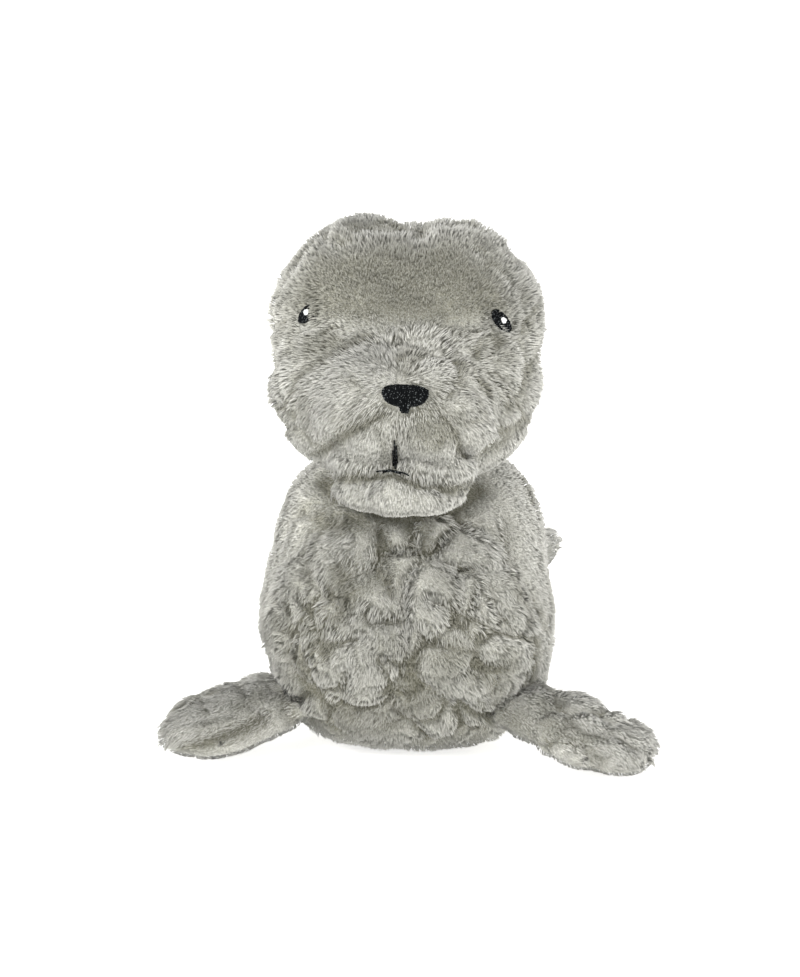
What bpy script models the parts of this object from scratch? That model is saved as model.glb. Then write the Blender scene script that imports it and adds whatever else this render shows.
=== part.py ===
"""Plush seal dog toy, sitting up with its flippers spread on the floor.

Metres, +Z up. The seal faces -Y, and left and right are the seal's own, so left is +X.
The origin is on the floor, in the middle of the flat spot under the body.
The cover is sewn from plush panels over polyester stuffing, with a squeaker in the belly.
"""

import math
from typing import NamedTuple

import bmesh
import bpy
import numpy as np
from mathutils import Matrix, Vector


class Lobe(NamedTuple):
    """One bulge of a stuffed form: where its middle is, and its half sizes along X, Y and Z."""

    x: float
    y: float
    z: float
    half_x: float
    half_y: float
    half_z: float


class Paddle(NamedTuple):
    """A flipper: where its root is, which way it points, and its sizes."""

    at: tuple
    spread: float  # from straight ahead, outwards
    droop: float
    length: float
    root_half_width: float
    half_width: float
    half_thickness: float


# The cloth
PLUSH = 0.0060  # backing cloth with its pile, as one layer
SEAM_GAP = 0.0003
FIT_GAP = 0.0003  # between hard pieces, and round what is set into the cover
STUFFING_GAP = 0.0006  # between the stuffing and the lining
SEAM_SINK = 0.0022  # how far the thread pulls the cover in along a seam
SEAM_SPREAD = math.radians(9)  # how far to each side that pull reaches

# The head, in its own frame: nose towards -Y, crown towards +Z
HEAD_AT = (-0.0010, -0.010, 0.1475)
HEAD_PITCH = math.radians(17)
HEAD_YAW = math.radians(6.5)
HEAD_ROLL = math.radians(2.5)
HEAD_BLEND = 0.0045
CROWN = Lobe(0.0160, 0.004, 0.015, 0.0355, 0.043, 0.0405)
CHEEK = Lobe(0.0170, -0.006, -0.013, 0.0320, 0.037, 0.0290)
MUZZLE = Lobe(0, -0.034, -0.013, 0.0290, 0.0235, 0.0190)
MUZZLE_PAD = Lobe(0.0125, -0.0420, -0.0245, 0.0185, 0.0150, 0.0120)
CHIN = Lobe(0, -0.0300, -0.0430, 0.0290, 0.0205, 0.0105)
HEAD_SPINE = ((0, -0.024, -0.014), (0, 0.004, 0.002))
HEAD_SEGMENTS = 32
HEAD_RINGS = 24
GUSSET_HALF_ANGLE = math.radians(45)
CHIN_HALF_ANGLE = math.radians(60)
CHIN_SEAM_ANGLE = math.radians(52.5)  # from the nose, round to the chin panel's front seam
LIP_FOLD_ANGLE = math.radians(45)  # from the nose, round to the fold that the mouth's stitches pull in

# The body
BODY_BLEND = 0.0070
SHOULDERS = Lobe(0.0105, 0.003, 0.084, 0.0385, 0.038, 0.0310)
BELLY = Lobe(0.0150, -0.012, 0.050, 0.0420, 0.0415, 0.0425)
SEAT = Lobe(0.0160, -0.005, 0.020, 0.0360, 0.0345, 0.0205)
RUMP = Lobe(0, 0.036, 0.043, 0.0440, 0.052, 0.0400)
TAIL_STEM = Lobe(0, 0.090, 0.0210, 0.0210, 0.037, 0.0180)
BODY_SPINE = ((0, -0.016, 0.046), (0, 0.098, 0.021))
BODY_SEGMENTS = 32
BODY_RINGS = 24
BIB_ANGLE = math.radians(55.4)  # from the front of the belly, round to the seams of the bib
BELLY_PANEL_HALF_ANGLE = math.radians(50)
FLOOR_SINK = 0.0015  # how much of the stuffed underside the floor presses flat

# The flippers, two plush layers each, in their own frames: root at the origin, tip towards -Y
FLIPPER_BLEND = 0.0020
FLIPPER_LOBE = 0.34  # half the length of its root and middle lobes, as a share of its length
FLIPPER_ROOT = 0.20  # where its root lobe lies, as a share of its length
FLIPPER_MIDDLE = 0.48
FLIPPER_TIP = 1.15  # half the length of its tip lobe, as a share of its half width
FLIPPER_SPINE_START = 0.05
FLIPPER_SEGMENTS = 16
FLIPPER_RINGS = 16
LEFT_FRONT_FLIPPER = Paddle(
    at=(0.0380, -0.0200, 0.0200), spread=math.radians(60), droop=math.radians(10),
    length=0.0660, root_half_width=0.0170, half_width=0.0205, half_thickness=0.0100,
)
RIGHT_FRONT_FLIPPER = LEFT_FRONT_FLIPPER._replace(spread=math.radians(56), length=0.0615)
HIND_FLIPPER = Paddle(
    at=(0.0060, 0.1150, 0.0160), spread=math.radians(130), droop=math.radians(-16),
    length=0.0535, root_half_width=0.0100, half_width=0.0150, half_thickness=0.0085,
)

# The embroidery, worked down into the pile
FACE_Y = -0.0600  # the plane in front of the muzzle that the outlines are drawn in
FACE_REACH = 0.0300  # how far to each side of it their prisms go
SHARPEST_CORNER = 0.5  # the least 1 + cos of an outline's turn that a grown corner follows
THREAD_TOP = 0.0008  # below the face of the pile
THREAD_THICKNESS = 0.0018
NOSE_WIDTH = 0.0190
NOSE_HEIGHT = 0.0080
NOSE_STEM = 0.0042
NOSE_STEM_DROP = 0.0022
NOSE_STEM_NARROWING = 0.0007  # from each side of the stem to its tip
NOSE_SQUARENESS = 2.6
NOSE_TAPER = 0.13
NOSE_CORNERS = 24
NOSE_Z = -0.0125
MOUTH_WIDTH = 0.0130
MOUTH_X = -0.0030
MOUTH_Z = -0.0375
MOUTH_STROKE = 0.0016
MOUTH_ARC = 0.12  # its rise, as a share of its width
PHILTRUM_HEIGHT = 0.0095
EYE_HALF_WIDTH = 0.0032
EYE_HALF_HEIGHT = 0.0051
LEFT_EYE_AT = (0.0361, 0.0172)  # X and Z in the head's frame
RIGHT_EYE_AT = (-0.0384, 0.0172)
EYE_TILT = math.radians(47)
EYE_REACH = 0.0120  # how deep the eye's prism starts below the pile
GLINT_RADIUS = 0.0012
GLINT_THICKNESS = 0.0007

# The squeaker, stood on end in the belly
SQUEAKER_AT = (0, 0.004, 0.030)
SQUEAKER_RADIUS = 0.0210
SQUEAKER_HEIGHT = 0.0230
SQUEAKER_WALL = 0.0014
SQUEAKER_NECK_RADIUS = 0.0062
SQUEAKER_NECK_HEIGHT = 0.0060
REED_FLANGE_RADIUS = 0.0060
REED_FLANGE_THICKNESS = 0.0012
REED_LENGTH = 0.0070
REED_BORE_RADIUS = 0.0016
TURNED_STEPS = 18

PLUSH_GREY = (0.42, 0.41, 0.37, 1)
THREAD_BLACK = (0.018, 0.020, 0.022, 1)
THREAD_WHITE = (0.85, 0.85, 0.83, 1)
FIBRE_WHITE = (0.82, 0.82, 0.80, 1)
SQUEAKER_WHITE = (0.80, 0.82, 0.80, 1)


def collection(name):
    """A new collection in the scene."""
    made = bpy.data.collections.new(name)
    bpy.context.scene.collection.children.link(made)
    return made


def material(name, colour, roughness):
    """A plain material of one colour."""
    made = bpy.data.materials.new(name)
    made.use_nodes = True
    shader = made.node_tree.nodes["Principled BSDF"]
    shader.inputs["Base Color"].default_value = colour
    shader.inputs["Roughness"].default_value = roughness
    made.diffuse_color = colour
    return made


class Form:
    """A stuffed shape: lobes that run into each other, pulled in along its seams.

    Its mesh is a sphere whose poles lie at the front and the back. Each vertex goes out from the
    spine to the surface, so one vertex at two depths gives the two faces of the cover.
    """

    def __init__(self, lobes, blend, spine, segments, rings, seams=(), frame=None, straight=0.5):
        self.centres = np.array([lobe[:3] for lobe in lobes])
        self.halves = np.array([lobe[3:] for lobe in lobes])
        self.blend = blend
        self.spine = np.array(spine, float)
        self.segments = segments
        self.rings = rings
        self.seams = seams
        self.frame = frame or Matrix.Identity(4)
        self.straight = straight  # the share of the sphere's height that follows the spine
        spread = np.abs(self.centres) + self.halves
        self.reach = float(np.linalg.norm(spread.max(axis=0)))

    def distance(self, points):
        """Signed distance from each point to the blended lobes, negative inside."""
        offset = points[:, None, :] - self.centres
        scaled = np.linalg.norm(offset / self.halves, axis=2)
        slope = np.linalg.norm(offset / self.halves**2, axis=2)
        each = scaled * (scaled - 1) / np.maximum(slope, 1e-9)
        nearest = each.min(axis=1)
        shares = np.exp(-(each - nearest[:, None]) / self.blend)
        return nearest - self.blend * np.log(shares.sum(axis=1))

    def sink(self, units):
        """How far the seams pull in the surface that each unit direction meets."""
        pulled = np.zeros(len(units))
        for seam in self.seams:
            pulled = np.maximum(pulled, seam(units))
        return SEAM_SINK * pulled

    def points(self, units, depth):
        """Where rays along the unit directions leave the form, this far below its surface."""
        front = -units[:, 1]
        bend = np.clip(front / self.straight, -1, 1)
        origins = self.spine.mean(axis=0) + bend[:, None] * (self.spine[0] - self.spine[1]) / 2
        rays = units.copy()
        rays[:, 1] = -np.sign(front) * np.clip(np.abs(front) - self.straight, 0, 1)
        rays[:, 1] /= 1 - self.straight
        rays /= np.linalg.norm(rays, axis=1)[:, None]
        level = -depth - self.sink(units)
        step = self.blend / 3
        far = np.full(len(units), self.reach)
        for _ in range(int(self.reach / step)):
            outside = self.distance(origins + rays * far[:, None]) > level
            far = np.where(outside, far - step, far)
        near = far
        far = far + step
        for _ in range(18):
            middle = (near + far) / 2
            outside = self.distance(origins + rays * middle[:, None]) > level
            far = np.where(outside, middle, far)
            near = np.where(outside, near, middle)
        found = origins + rays * far[:, None]
        return self.on_the_floor(found, depth)

    def on_the_floor(self, found, depth):
        """The points, with those that would lie below the floor's flat spot raised to it."""
        turned = np.array(self.frame)
        world = found @ turned[:3, :3].T + turned[:3, 3]
        world[:, 2] = np.maximum(world[:, 2], depth)
        back = np.array(self.frame.inverted())
        return world @ back[:3, :3].T + back[:3, 3]

    def sphere(self):
        """A unit sphere with a pole to the front, as a bmesh, and its vertices' directions.

        It is cut into triangles here, so that two depths of one form have parallel faces.
        """
        shape = bmesh.new()
        bmesh.ops.create_uvsphere(
            shape, u_segments=self.segments, v_segments=self.rings, radius=1
        )
        bmesh.ops.rotate(shape, verts=shape.verts, matrix=Matrix.Rotation(math.pi / 2, 3, "X"))
        bmesh.ops.triangulate(shape, faces=shape.faces[:], quad_method="FIXED")
        units = np.array([vertex.co for vertex in shape.verts], float)
        return shape, units / np.linalg.norm(units, axis=1)[:, None]

    def solid(self, depth):
        """The whole form as a closed bmesh, this far below its surface."""
        shape, units = self.sphere()
        for vertex, place in zip(shape.verts, self.points(units, depth)):
            vertex.co = place
        return shape

    def panel(self, belongs):
        """One cover panel as a closed bmesh: the faces whose middle passes belongs(front, round).

        front is the angle from the front pole, and round the angle from the top, left or right.
        """
        shape, units = self.sphere()
        lining = shape.verts.layers.float_vector.new("lining")
        middles = {face: angles_of(face.calc_center_median()) for face in shape.faces}
        others = [face for face, angles in middles.items() if not belongs(*angles)]
        outer = self.points(units, 0)
        inner = self.points(units, PLUSH)
        for vertex, place, under in zip(shape.verts, outer, inner):
            vertex.co = place
            vertex[lining] = under
        bmesh.ops.delete(shape, geom=others, context="FACES")
        pull_back_rim(shape, lining)
        made = bmesh.ops.extrude_face_region(shape, geom=shape.faces[:])
        for piece in made["geom"]:
            if isinstance(piece, bmesh.types.BMVert):
                piece.co = piece[lining]
        bmesh.ops.recalc_face_normals(shape, faces=shape.faces)
        return shape


def nearest_line(angle, lines):
    """The angle of the sphere's grid line nearest to an angle, with this many lines to a half turn."""
    return round(angle * lines / math.pi) * math.pi / lines


def angles_of(unit):
    """The angle from the front pole, and the angle round from the top, of a direction."""
    return math.acos(max(-1, min(1, -unit.y / unit.length))), math.atan2(unit.x, unit.z)


def pull_back_rim(shape, lining):
    """Moves a panel's edge back by half the seam gap, on both faces of the cloth."""
    moves = []
    for vertex in shape.verts:
        rim = [edge for edge in vertex.link_edges if edge.is_boundary]
        if len(rim) != 2:
            continue
        ends = [edge.other_vert(vertex).co for edge in rim]
        along = (ends[1] - ends[0]).normalized()
        middles = [face.calc_center_median() for face in vertex.link_faces]
        inward = sum(middles, Vector()) / len(middles) - vertex.co
        inward -= along * inward.dot(along)
        moves.append((vertex, inward.normalized() * SEAM_GAP / 2))
    for vertex, move in moves:
        vertex.co += move
        vertex[lining] = vertex[lining] + move


def seam_along(round_angle, start=0.0, end=math.pi):
    """A seam that runs from front to back at one angle from the top, on both sides."""

    def pull(units):
        front = np.arccos(np.clip(-units[:, 1], -1, 1))
        round_ = np.abs(np.arctan2(units[:, 0], units[:, 2]))
        away = np.abs(round_ - round_angle) * np.sin(front)
        inside = (front >= start - 1e-6) & (front <= end + 1e-6)
        return np.exp(-((away / SEAM_SPREAD) ** 2)) * inside

    return pull


def seam_across(front_angle, start=0.0, end=math.pi):
    """A seam that runs round at one angle from the front, between two angles from the top."""

    def pull(units):
        front = np.arccos(np.clip(-units[:, 1], -1, 1))
        round_ = np.abs(np.arctan2(units[:, 0], units[:, 2]))
        away = np.abs(front - front_angle)
        beyond = np.clip(np.maximum(start - round_, round_ - end), 0, None) * np.sin(front)
        return np.exp(-((away**2 + beyond**2) / SEAM_SPREAD**2))

    return pull


def both_sides(lobe):
    """The lobe and its mirror image."""
    return [lobe, lobe._replace(x=-lobe.x)]


def place(name, shape, home, finish, frame=None):
    """Links a bmesh to a collection as an object, under a frame if one is given."""
    mesh = bpy.data.meshes.new(name)
    shape.to_mesh(mesh)
    shape.free()
    made = bpy.data.objects.new(name, mesh)
    home.objects.link(made)
    made.parent = frame
    if finish:
        mesh.materials.append(finish)
        mesh.shade_smooth()
        mesh.set_sharp_from_angle(angle=math.radians(50))
    return made


def frame_at(name, home, matrix):
    """An empty that carries the pieces of one form."""
    made = bpy.data.objects.new(name, None)
    home.objects.link(made)
    made.matrix_world = matrix
    return made


def cutter(name, shape, home, frame=None):
    """A helper solid for Boolean modifiers, which isn't part of the toy."""
    made = place(name, shape, home, None, frame)
    made.hide_render = True
    made.display_type = "WIRE"
    return made


def boolean(target, operation, other):
    """Adds one Boolean modifier."""
    modifier = target.modifiers.new(f"{operation.lower()} {other.name}", "BOOLEAN")
    modifier.operation = operation
    modifier.object = other
    return modifier


GUSSET_EDGE = nearest_line(GUSSET_HALF_ANGLE, HEAD_SEGMENTS / 2)
CHIN_EDGE = nearest_line(math.pi - CHIN_HALF_ANGLE, HEAD_SEGMENTS / 2)
CHIN_SEAM = nearest_line(CHIN_SEAM_ANGLE, HEAD_RINGS)
BELLY_EDGE = nearest_line(math.pi - BELLY_PANEL_HALF_ANGLE, BODY_SEGMENTS / 2)
BIB_LINE = nearest_line(BIB_ANGLE, BODY_RINGS)


def head_form():
    """The head: crown, cheeks, muzzle, lips and chin."""
    lobes = both_sides(CROWN) + both_sides(CHEEK) + both_sides(MUZZLE_PAD) + [MUZZLE, CHIN]
    seams = (
        seam_along(GUSSET_EDGE, start=LIP_FOLD_ANGLE / 2),
        seam_along(math.pi, end=LIP_FOLD_ANGLE),
        seam_across(LIP_FOLD_ANGLE, start=CHIN_EDGE),
    )
    turn = (
        Matrix.Rotation(HEAD_YAW, 4, "Z")
        @ Matrix.Rotation(-HEAD_PITCH, 4, "X")
        @ Matrix.Rotation(HEAD_ROLL, 4, "Y")
    )
    frame = Matrix.Translation(HEAD_AT) @ turn
    return Form(
        lobes, HEAD_BLEND, HEAD_SPINE, HEAD_SEGMENTS, HEAD_RINGS, seams, frame, straight=0.25
    )


def body_form():
    """The body: shoulders, belly, rump and the stem of the tail."""
    seams = (
        seam_along(math.pi, end=BIB_LINE),
        seam_along(0.0),
        seam_across(BIB_LINE),
        seam_along(BELLY_EDGE, start=BIB_LINE),
    )
    lobes = both_sides(SHOULDERS) + both_sides(BELLY) + both_sides(SEAT) + [RUMP, TAIL_STEM]
    lowered = [lobe._replace(z=lobe.z - FLOOR_SINK) for lobe in lobes]
    return Form(
        lowered, BODY_BLEND, BODY_SPINE, BODY_SEGMENTS, BODY_RINGS, seams, straight=0.55
    )


def flipper_form(paddle, side):
    """A flat paddle that widens towards its rounded tip, in its place beside the body."""
    length, root, wide = paddle.length, paddle.root_half_width, paddle.half_width
    thick = paddle.half_thickness
    lobes = [
        Lobe(0, -length * FLIPPER_ROOT, 0, root, length * FLIPPER_LOBE, thick),
        Lobe(0, -length * FLIPPER_MIDDLE, 0, (root + wide) / 2, length * FLIPPER_LOBE, thick),
        Lobe(0, -length + wide * FLIPPER_TIP, 0, wide, wide * FLIPPER_TIP, thick),
    ]
    spine = ((0, -length + wide, 0), (0, -length * FLIPPER_SPINE_START, 0))
    frame = (
        Matrix.Translation((paddle.at[0] * side, *paddle.at[1:]))
        @ Matrix.Rotation(paddle.spread * side, 4, "Z")
        @ Matrix.Rotation(paddle.droop, 4, "X")
    )
    return Form(
        lobes, FLIPPER_BLEND, spine, FLIPPER_SEGMENTS, FLIPPER_RINGS, frame=frame, straight=0.55
    )


def layer_of(form, up):
    """The upper (up=1) or lower (up=-1) plush layer of a flipper, flat where the two meet."""
    shape = form.solid(0)
    normal = Vector((0, 0, up))
    bmesh.ops.bisect_plane(
        shape,
        geom=shape.verts[:] + shape.edges[:] + shape.faces[:],
        plane_co=normal * SEAM_GAP / 2,
        plane_no=normal,
        clear_inner=True,
    )
    bmesh.ops.holes_fill(shape, edges=shape.edges)
    bmesh.ops.recalc_face_normals(shape, faces=shape.faces)
    return shape


def oval(half_width, half_height, count=20):
    """The corners of an oval in a plane, anticlockwise."""
    turns = [2 * math.pi * i / count for i in range(count)]
    return [(half_width * math.cos(a), half_height * math.sin(a)) for a in turns]


def nose_outline(grow):
    """A rounded bar, wider at the top, with a short stem down from its middle."""
    half, height, stem = NOSE_WIDTH / 2, NOSE_HEIGHT / 2, NOSE_STEM / 2
    power = NOSE_SQUARENESS
    corners = []
    for i in range(NOSE_CORNERS):
        turn = math.pi / 2 + 2 * math.pi * i / NOSE_CORNERS
        across, up = math.cos(turn), math.sin(turn)
        squared = (abs(across) ** power + abs(up) ** power) ** (-1 / power)
        taper = 1 - NOSE_TAPER * (1 - up)
        corners.append((half * across * squared * taper, height * up * squared))
    lowest = [(x, z) for x, z in corners if z < 0 and abs(x) < stem * 1.5]
    body = [(x, z) for x, z in corners if (x, z) not in lowest]
    split = next(i for i, (x, z) in enumerate(body) if z < 0 and x > 0)
    low, end = -height - NOSE_STEM_DROP, stem - NOSE_STEM_NARROWING
    tip = [(-stem, -height), (-end, low), (end, low), (stem, -height)]
    outline = body[:split] + tip + body[split:]
    return grown(outline, grow)


def mouth_outline(grow):
    """A vertical stroke standing on a shallow arc, as one outline."""
    half, stroke = MOUTH_WIDTH / 2, MOUTH_STROKE / 2
    rise = MOUTH_WIDTH * MOUTH_ARC
    steps = [i / 4 - 1 for i in range(9)]
    arc = [(half * s, -rise * s * s) for s in steps]
    lower = [(x, z - stroke) for x, z in arc]
    upper = [(x, z + stroke) for x, z in reversed(arc) if abs(x) > stroke * 1.5]
    middle = len(upper) // 2
    right = [(stroke, stroke), (stroke, PHILTRUM_HEIGHT)]
    left = [(-stroke, PHILTRUM_HEIGHT), (-stroke, stroke)]
    return grown(lower + upper[:middle] + right + left + upper[middle:], grow)


def grown(outline, grow):
    """The outline moved out by grow along its corners' normals."""
    count = len(outline)
    made = []
    for i, (x, z) in enumerate(outline):
        ahead = Vector(outline[(i + 1) % count]) - Vector((x, z))
        behind = Vector((x, z)) - Vector(outline[i - 1])
        sides = [Vector((v.y, -v.x)).normalized() for v in (behind, ahead)]
        corner = (sides[0] + sides[1]) / max(SHARPEST_CORNER, 1 + sides[0].dot(sides[1]))
        made.append((x + corner.x * grow, z + corner.y * grow))
    return made


def prism(outline, near, far):
    """An outline in the XZ plane, filled and drawn out along Y from near to far."""
    shape = bmesh.new()
    corners = [shape.verts.new((x, near, z)) for x, z in outline]
    face = shape.faces.new(corners)
    made = bmesh.ops.extrude_face_region(shape, geom=[face])
    moved = [piece for piece in made["geom"] if isinstance(piece, bmesh.types.BMVert)]
    bmesh.ops.translate(shape, verts=moved, vec=(0, far - near, 0))
    bmesh.ops.triangulate(shape, faces=shape.faces[:])
    bmesh.ops.recalc_face_normals(shape, faces=shape.faces)
    return shape


class Head:
    """The head's cover, its embroidery and its stuffing."""

    def __init__(self, parts, cutters, finishes):
        self.form = head_form()
        self.parts = parts
        self.cutters = cutters
        self.finishes = finishes
        self.frame = frame_at("head_frame", parts, self.form.frame)
        self.panels = {}

    def cut_solid(self, name, depth):
        """The head's form at one depth, as a cutter."""
        return cutter(name, self.form.solid(depth), self.cutters, self.frame)

    def build_cover(self):
        """Forehead gusset, two side panels that meet under the nose, and the chin."""

        def gusset(front, round_):
            return abs(round_) < GUSSET_EDGE

        def chin(front, round_):
            return abs(round_) > CHIN_EDGE and front > CHIN_SEAM

        def side(sign):
            return lambda front, round_: (
                not gusset(front, round_) and not chin(front, round_) and round_ * sign > 0
            )

        tests = {
            "forehead_gusset": gusset,
            "chin_panel": chin,
            "head_panel_left": side(1),
            "head_panel_right": side(-1),
        }
        for name, belongs in tests.items():
            self.panels[name] = place(
                name, self.form.panel(belongs), self.parts, self.finishes["plush"], self.frame
            )

    def build_stuffing(self):
        """The loose fibre that fills the head."""
        place(
            "head_stuffing",
            self.form.solid(PLUSH + STUFFING_GAP),
            self.parts,
            self.finishes["fibre"],
            self.frame,
        )

    def surface(self, x, z):
        """The matrix of a spot on the pile's face, seen from the front at x and z: -Y is outwards."""
        ray = np.array([[x, -self.form.reach, z]])
        while self.form.distance(ray)[0] > 0:
            ray[0, 1] += self.form.blend / 20
        nudge = self.form.blend / 10
        steps = ray + nudge * np.eye(3)
        slope = Vector(self.form.distance(steps) - self.form.distance(ray)).normalized()
        turn = slope.to_track_quat("-Y", "Z").to_matrix().to_4x4()
        return Matrix.Translation(ray[0]) @ turn

    def stitch(self, name, outline, spot, reach, panels, finish):
        """One embroidered patch, and the bed that it presses into the pile of the panels."""
        under = self.cut_solid(f"{name}_under", THREAD_TOP + THREAD_THICKNESS)
        over = self.cut_solid(f"{name}_over", THREAD_TOP)
        bed_floor = self.cut_solid(f"{name}_bed_floor", THREAD_TOP + THREAD_THICKNESS + FIT_GAP)
        patch = prism(outline(0), -reach, reach)
        patch.transform(spot)
        patch = place(name, patch, self.parts, finish, self.frame)
        boolean(patch, "INTERSECT", over)
        boolean(patch, "DIFFERENCE", under)
        bed = prism(outline(FIT_GAP), -reach, reach)
        bed.transform(spot)
        bed = cutter(f"{name}_bed", bed, self.cutters, self.frame)
        boolean(bed, "DIFFERENCE", bed_floor)
        for panel in panels:
            boolean(self.panels[panel], "DIFFERENCE", bed)
        return patch

    def build_embroidery(self):
        """Nose, mouth, and two eyes with a white glint each."""
        black = self.finishes["black thread"]
        sides = ["head_panel_left", "head_panel_right"]
        patches = (
            ("nose_embroidery", nose_outline, (0, FACE_Y, NOSE_Z), sides + ["forehead_gusset"]),
            ("mouth_embroidery", mouth_outline, (MOUTH_X, FACE_Y, MOUTH_Z), sides + ["chin_panel"]),
        )
        for name, outline, at, panels in patches:
            self.stitch(name, outline, Matrix.Translation(at), FACE_REACH, panels, black)
        for name, at, tilt in (
            ("left", LEFT_EYE_AT, -EYE_TILT),
            ("right", RIGHT_EYE_AT, EYE_TILT),
        ):
            spot = self.surface(*at) @ Matrix.Rotation(tilt, 4, "Y")
            self.stitch(
                f"eye_{name}",
                lambda grow: oval(EYE_HALF_WIDTH + grow, EYE_HALF_HEIGHT + grow),
                spot,
                EYE_REACH,
                [f"head_panel_{name}", "forehead_gusset"],
                black,
            )
            self.glint(f"eye_glint_{name}", spot)

    def glint(self, name, spot):
        """The white stitches on an eye."""
        top = THREAD_TOP - FIT_GAP
        over = self.cut_solid(f"{name}_over", top - GLINT_THICKNESS)
        under = self.cut_solid(f"{name}_under", top)
        shape = prism(oval(GLINT_RADIUS, GLINT_RADIUS, 12), -EYE_REACH, EYE_REACH)
        shape.transform(spot)
        shape = place(name, shape, self.parts, self.finishes["white thread"], self.frame)
        boolean(shape, "INTERSECT", over)
        boolean(shape, "DIFFERENCE", under)


class Body:
    """The body's cover, its stuffing and the squeaker."""

    def __init__(self, parts, cutters, finishes):
        self.form = body_form()
        self.parts = parts
        self.cutters = cutters
        self.finishes = finishes
        self.panels = []

    def build_cover(self):
        """Two bib panels at the front, two side panels that meet along the back, and the belly."""

        def bib(front, round_):
            return front < BIB_LINE

        def belly(front, round_):
            return front > BIB_LINE and abs(round_) > BELLY_EDGE

        def bib_half(sign):
            return lambda front, round_: bib(front, round_) and round_ * sign > 0

        def side(sign):
            return lambda front, round_: (
                not bib(front, round_) and not belly(front, round_) and round_ * sign > 0
            )

        tests = {
            "chest_panel_left": bib_half(1),
            "chest_panel_right": bib_half(-1),
            "side_panel_left": side(1),
            "side_panel_right": side(-1),
            "belly_panel": belly,
        }
        for name, belongs in tests.items():
            panel = place(name, self.form.panel(belongs), self.parts, self.finishes["plush"])
            self.panels.append(panel)

    def build_stuffing(self, head_core):
        """The fibre in front of the squeaker and the fibre behind it."""
        pocket = cutter("squeaker_pocket", squeaker_outside(FIT_GAP), self.cutters)
        pocket.location = SQUEAKER_AT
        far = self.form.reach * 2
        for name, sign in (("front", -1), ("back", 1)):
            half = bmesh.new()
            bmesh.ops.create_cube(half, size=far)
            middle = SQUEAKER_AT[1] + sign * (far / 2 + FIT_GAP / 2)
            bmesh.ops.translate(half, verts=half.verts, vec=(0, middle, 0))
            half = cutter(f"stuffing_{name}_half", half, self.cutters)
            stuffing = place(
                f"body_stuffing_{name}",
                self.form.solid(PLUSH + STUFFING_GAP),
                self.parts,
                self.finishes["fibre"],
            )
            boolean(stuffing, "INTERSECT", half)
            boolean(stuffing, "DIFFERENCE", head_core)
            boolean(stuffing, "DIFFERENCE", pocket)

    def build_squeaker(self):
        """A blown bladder and the reed that sits in its neck."""
        profiles = {"squeaker_bladder": bladder_profile(), "squeaker_reed": reed_profile()}
        for name, profile in profiles.items():
            made = turned(name, profile, self.parts, self.finishes["squeaker"])
            made.location = SQUEAKER_AT


def bladder_half(grow=0.0):
    """The outer half profile of the bladder from its neck's rim to its foot, as X and Z."""
    radius = SQUEAKER_RADIUS + grow
    middle = SQUEAKER_HEIGHT / 2
    neck = SQUEAKER_NECK_RADIUS + grow
    bulge = middle + grow
    top = math.acos(neck / radius)
    turns = [top - (top + math.pi / 2) * i / 7 for i in range(7)]
    side = [(radius * math.cos(a), middle + bulge * math.sin(a)) for a in turns]
    rim = SQUEAKER_HEIGHT + SQUEAKER_NECK_HEIGHT
    return [(neck, rim)] + side + [(0, -grow)]


def bladder_profile():
    """The bladder's wall, open at the neck: down the outside, up the inside."""
    outside = bladder_half()
    inside = bladder_half(-SQUEAKER_WALL)
    return outside + inside[::-1] + outside[:1]


def reed_profile():
    """The reed: a flange on the neck's rim, a tube down into the neck, and a bore right through."""
    rim = SQUEAKER_HEIGHT + SQUEAKER_NECK_HEIGHT
    seat = rim + FIT_GAP
    tube = SQUEAKER_NECK_RADIUS - SQUEAKER_WALL - FIT_GAP
    top = seat + REED_FLANGE_THICKNESS
    return [
        (REED_BORE_RADIUS, top),
        (REED_FLANGE_RADIUS, top),
        (REED_FLANGE_RADIUS, seat),
        (tube, seat),
        (tube, seat - REED_LENGTH),
        (REED_BORE_RADIUS, seat - REED_LENGTH),
        (REED_BORE_RADIUS, top),
    ]


def turned(name, profile, home, finish):
    """A turned piece: its half profile, down the outside, with a Screw modifier."""
    mesh = bpy.data.meshes.new(name)
    edges = [(i, i + 1) for i in range(len(profile) - 1)]
    mesh.from_pydata([(x, 0, z) for x, z in profile], edges, [])
    mesh.materials.append(finish)
    made = bpy.data.objects.new(name, mesh)
    home.objects.link(made)
    screw = made.modifiers.new("turn", "SCREW")
    screw.steps = screw.render_steps = TURNED_STEPS
    screw.use_merge_vertices = True
    screw.merge_threshold = 0.0001
    screw.use_smooth_shade = False
    return made


def squeaker_outside(grow):
    """The room that the squeaker takes, from its foot to the top of its reed, as a closed bmesh."""
    top = SQUEAKER_HEIGHT + SQUEAKER_NECK_HEIGHT + FIT_GAP + REED_FLANGE_THICKNESS + grow
    half = bladder_half(grow)
    profile = [(0, top), (half[0][0], top)] + half[1:]
    shape = bmesh.new()
    points = [shape.verts.new((x, 0, z)) for x, z in profile]
    edges = [shape.edges.new(pair) for pair in zip(points, points[1:])]
    bmesh.ops.spin(
        shape, geom=points + edges, axis=(0, 0, 1), cent=(0, 0, 0),
        angle=2 * math.pi, steps=TURNED_STEPS, use_merge=True,
    )
    bmesh.ops.remove_doubles(shape, verts=shape.verts, dist=1e-5)
    bmesh.ops.recalc_face_normals(shape, faces=shape.faces)
    return shape


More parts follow.
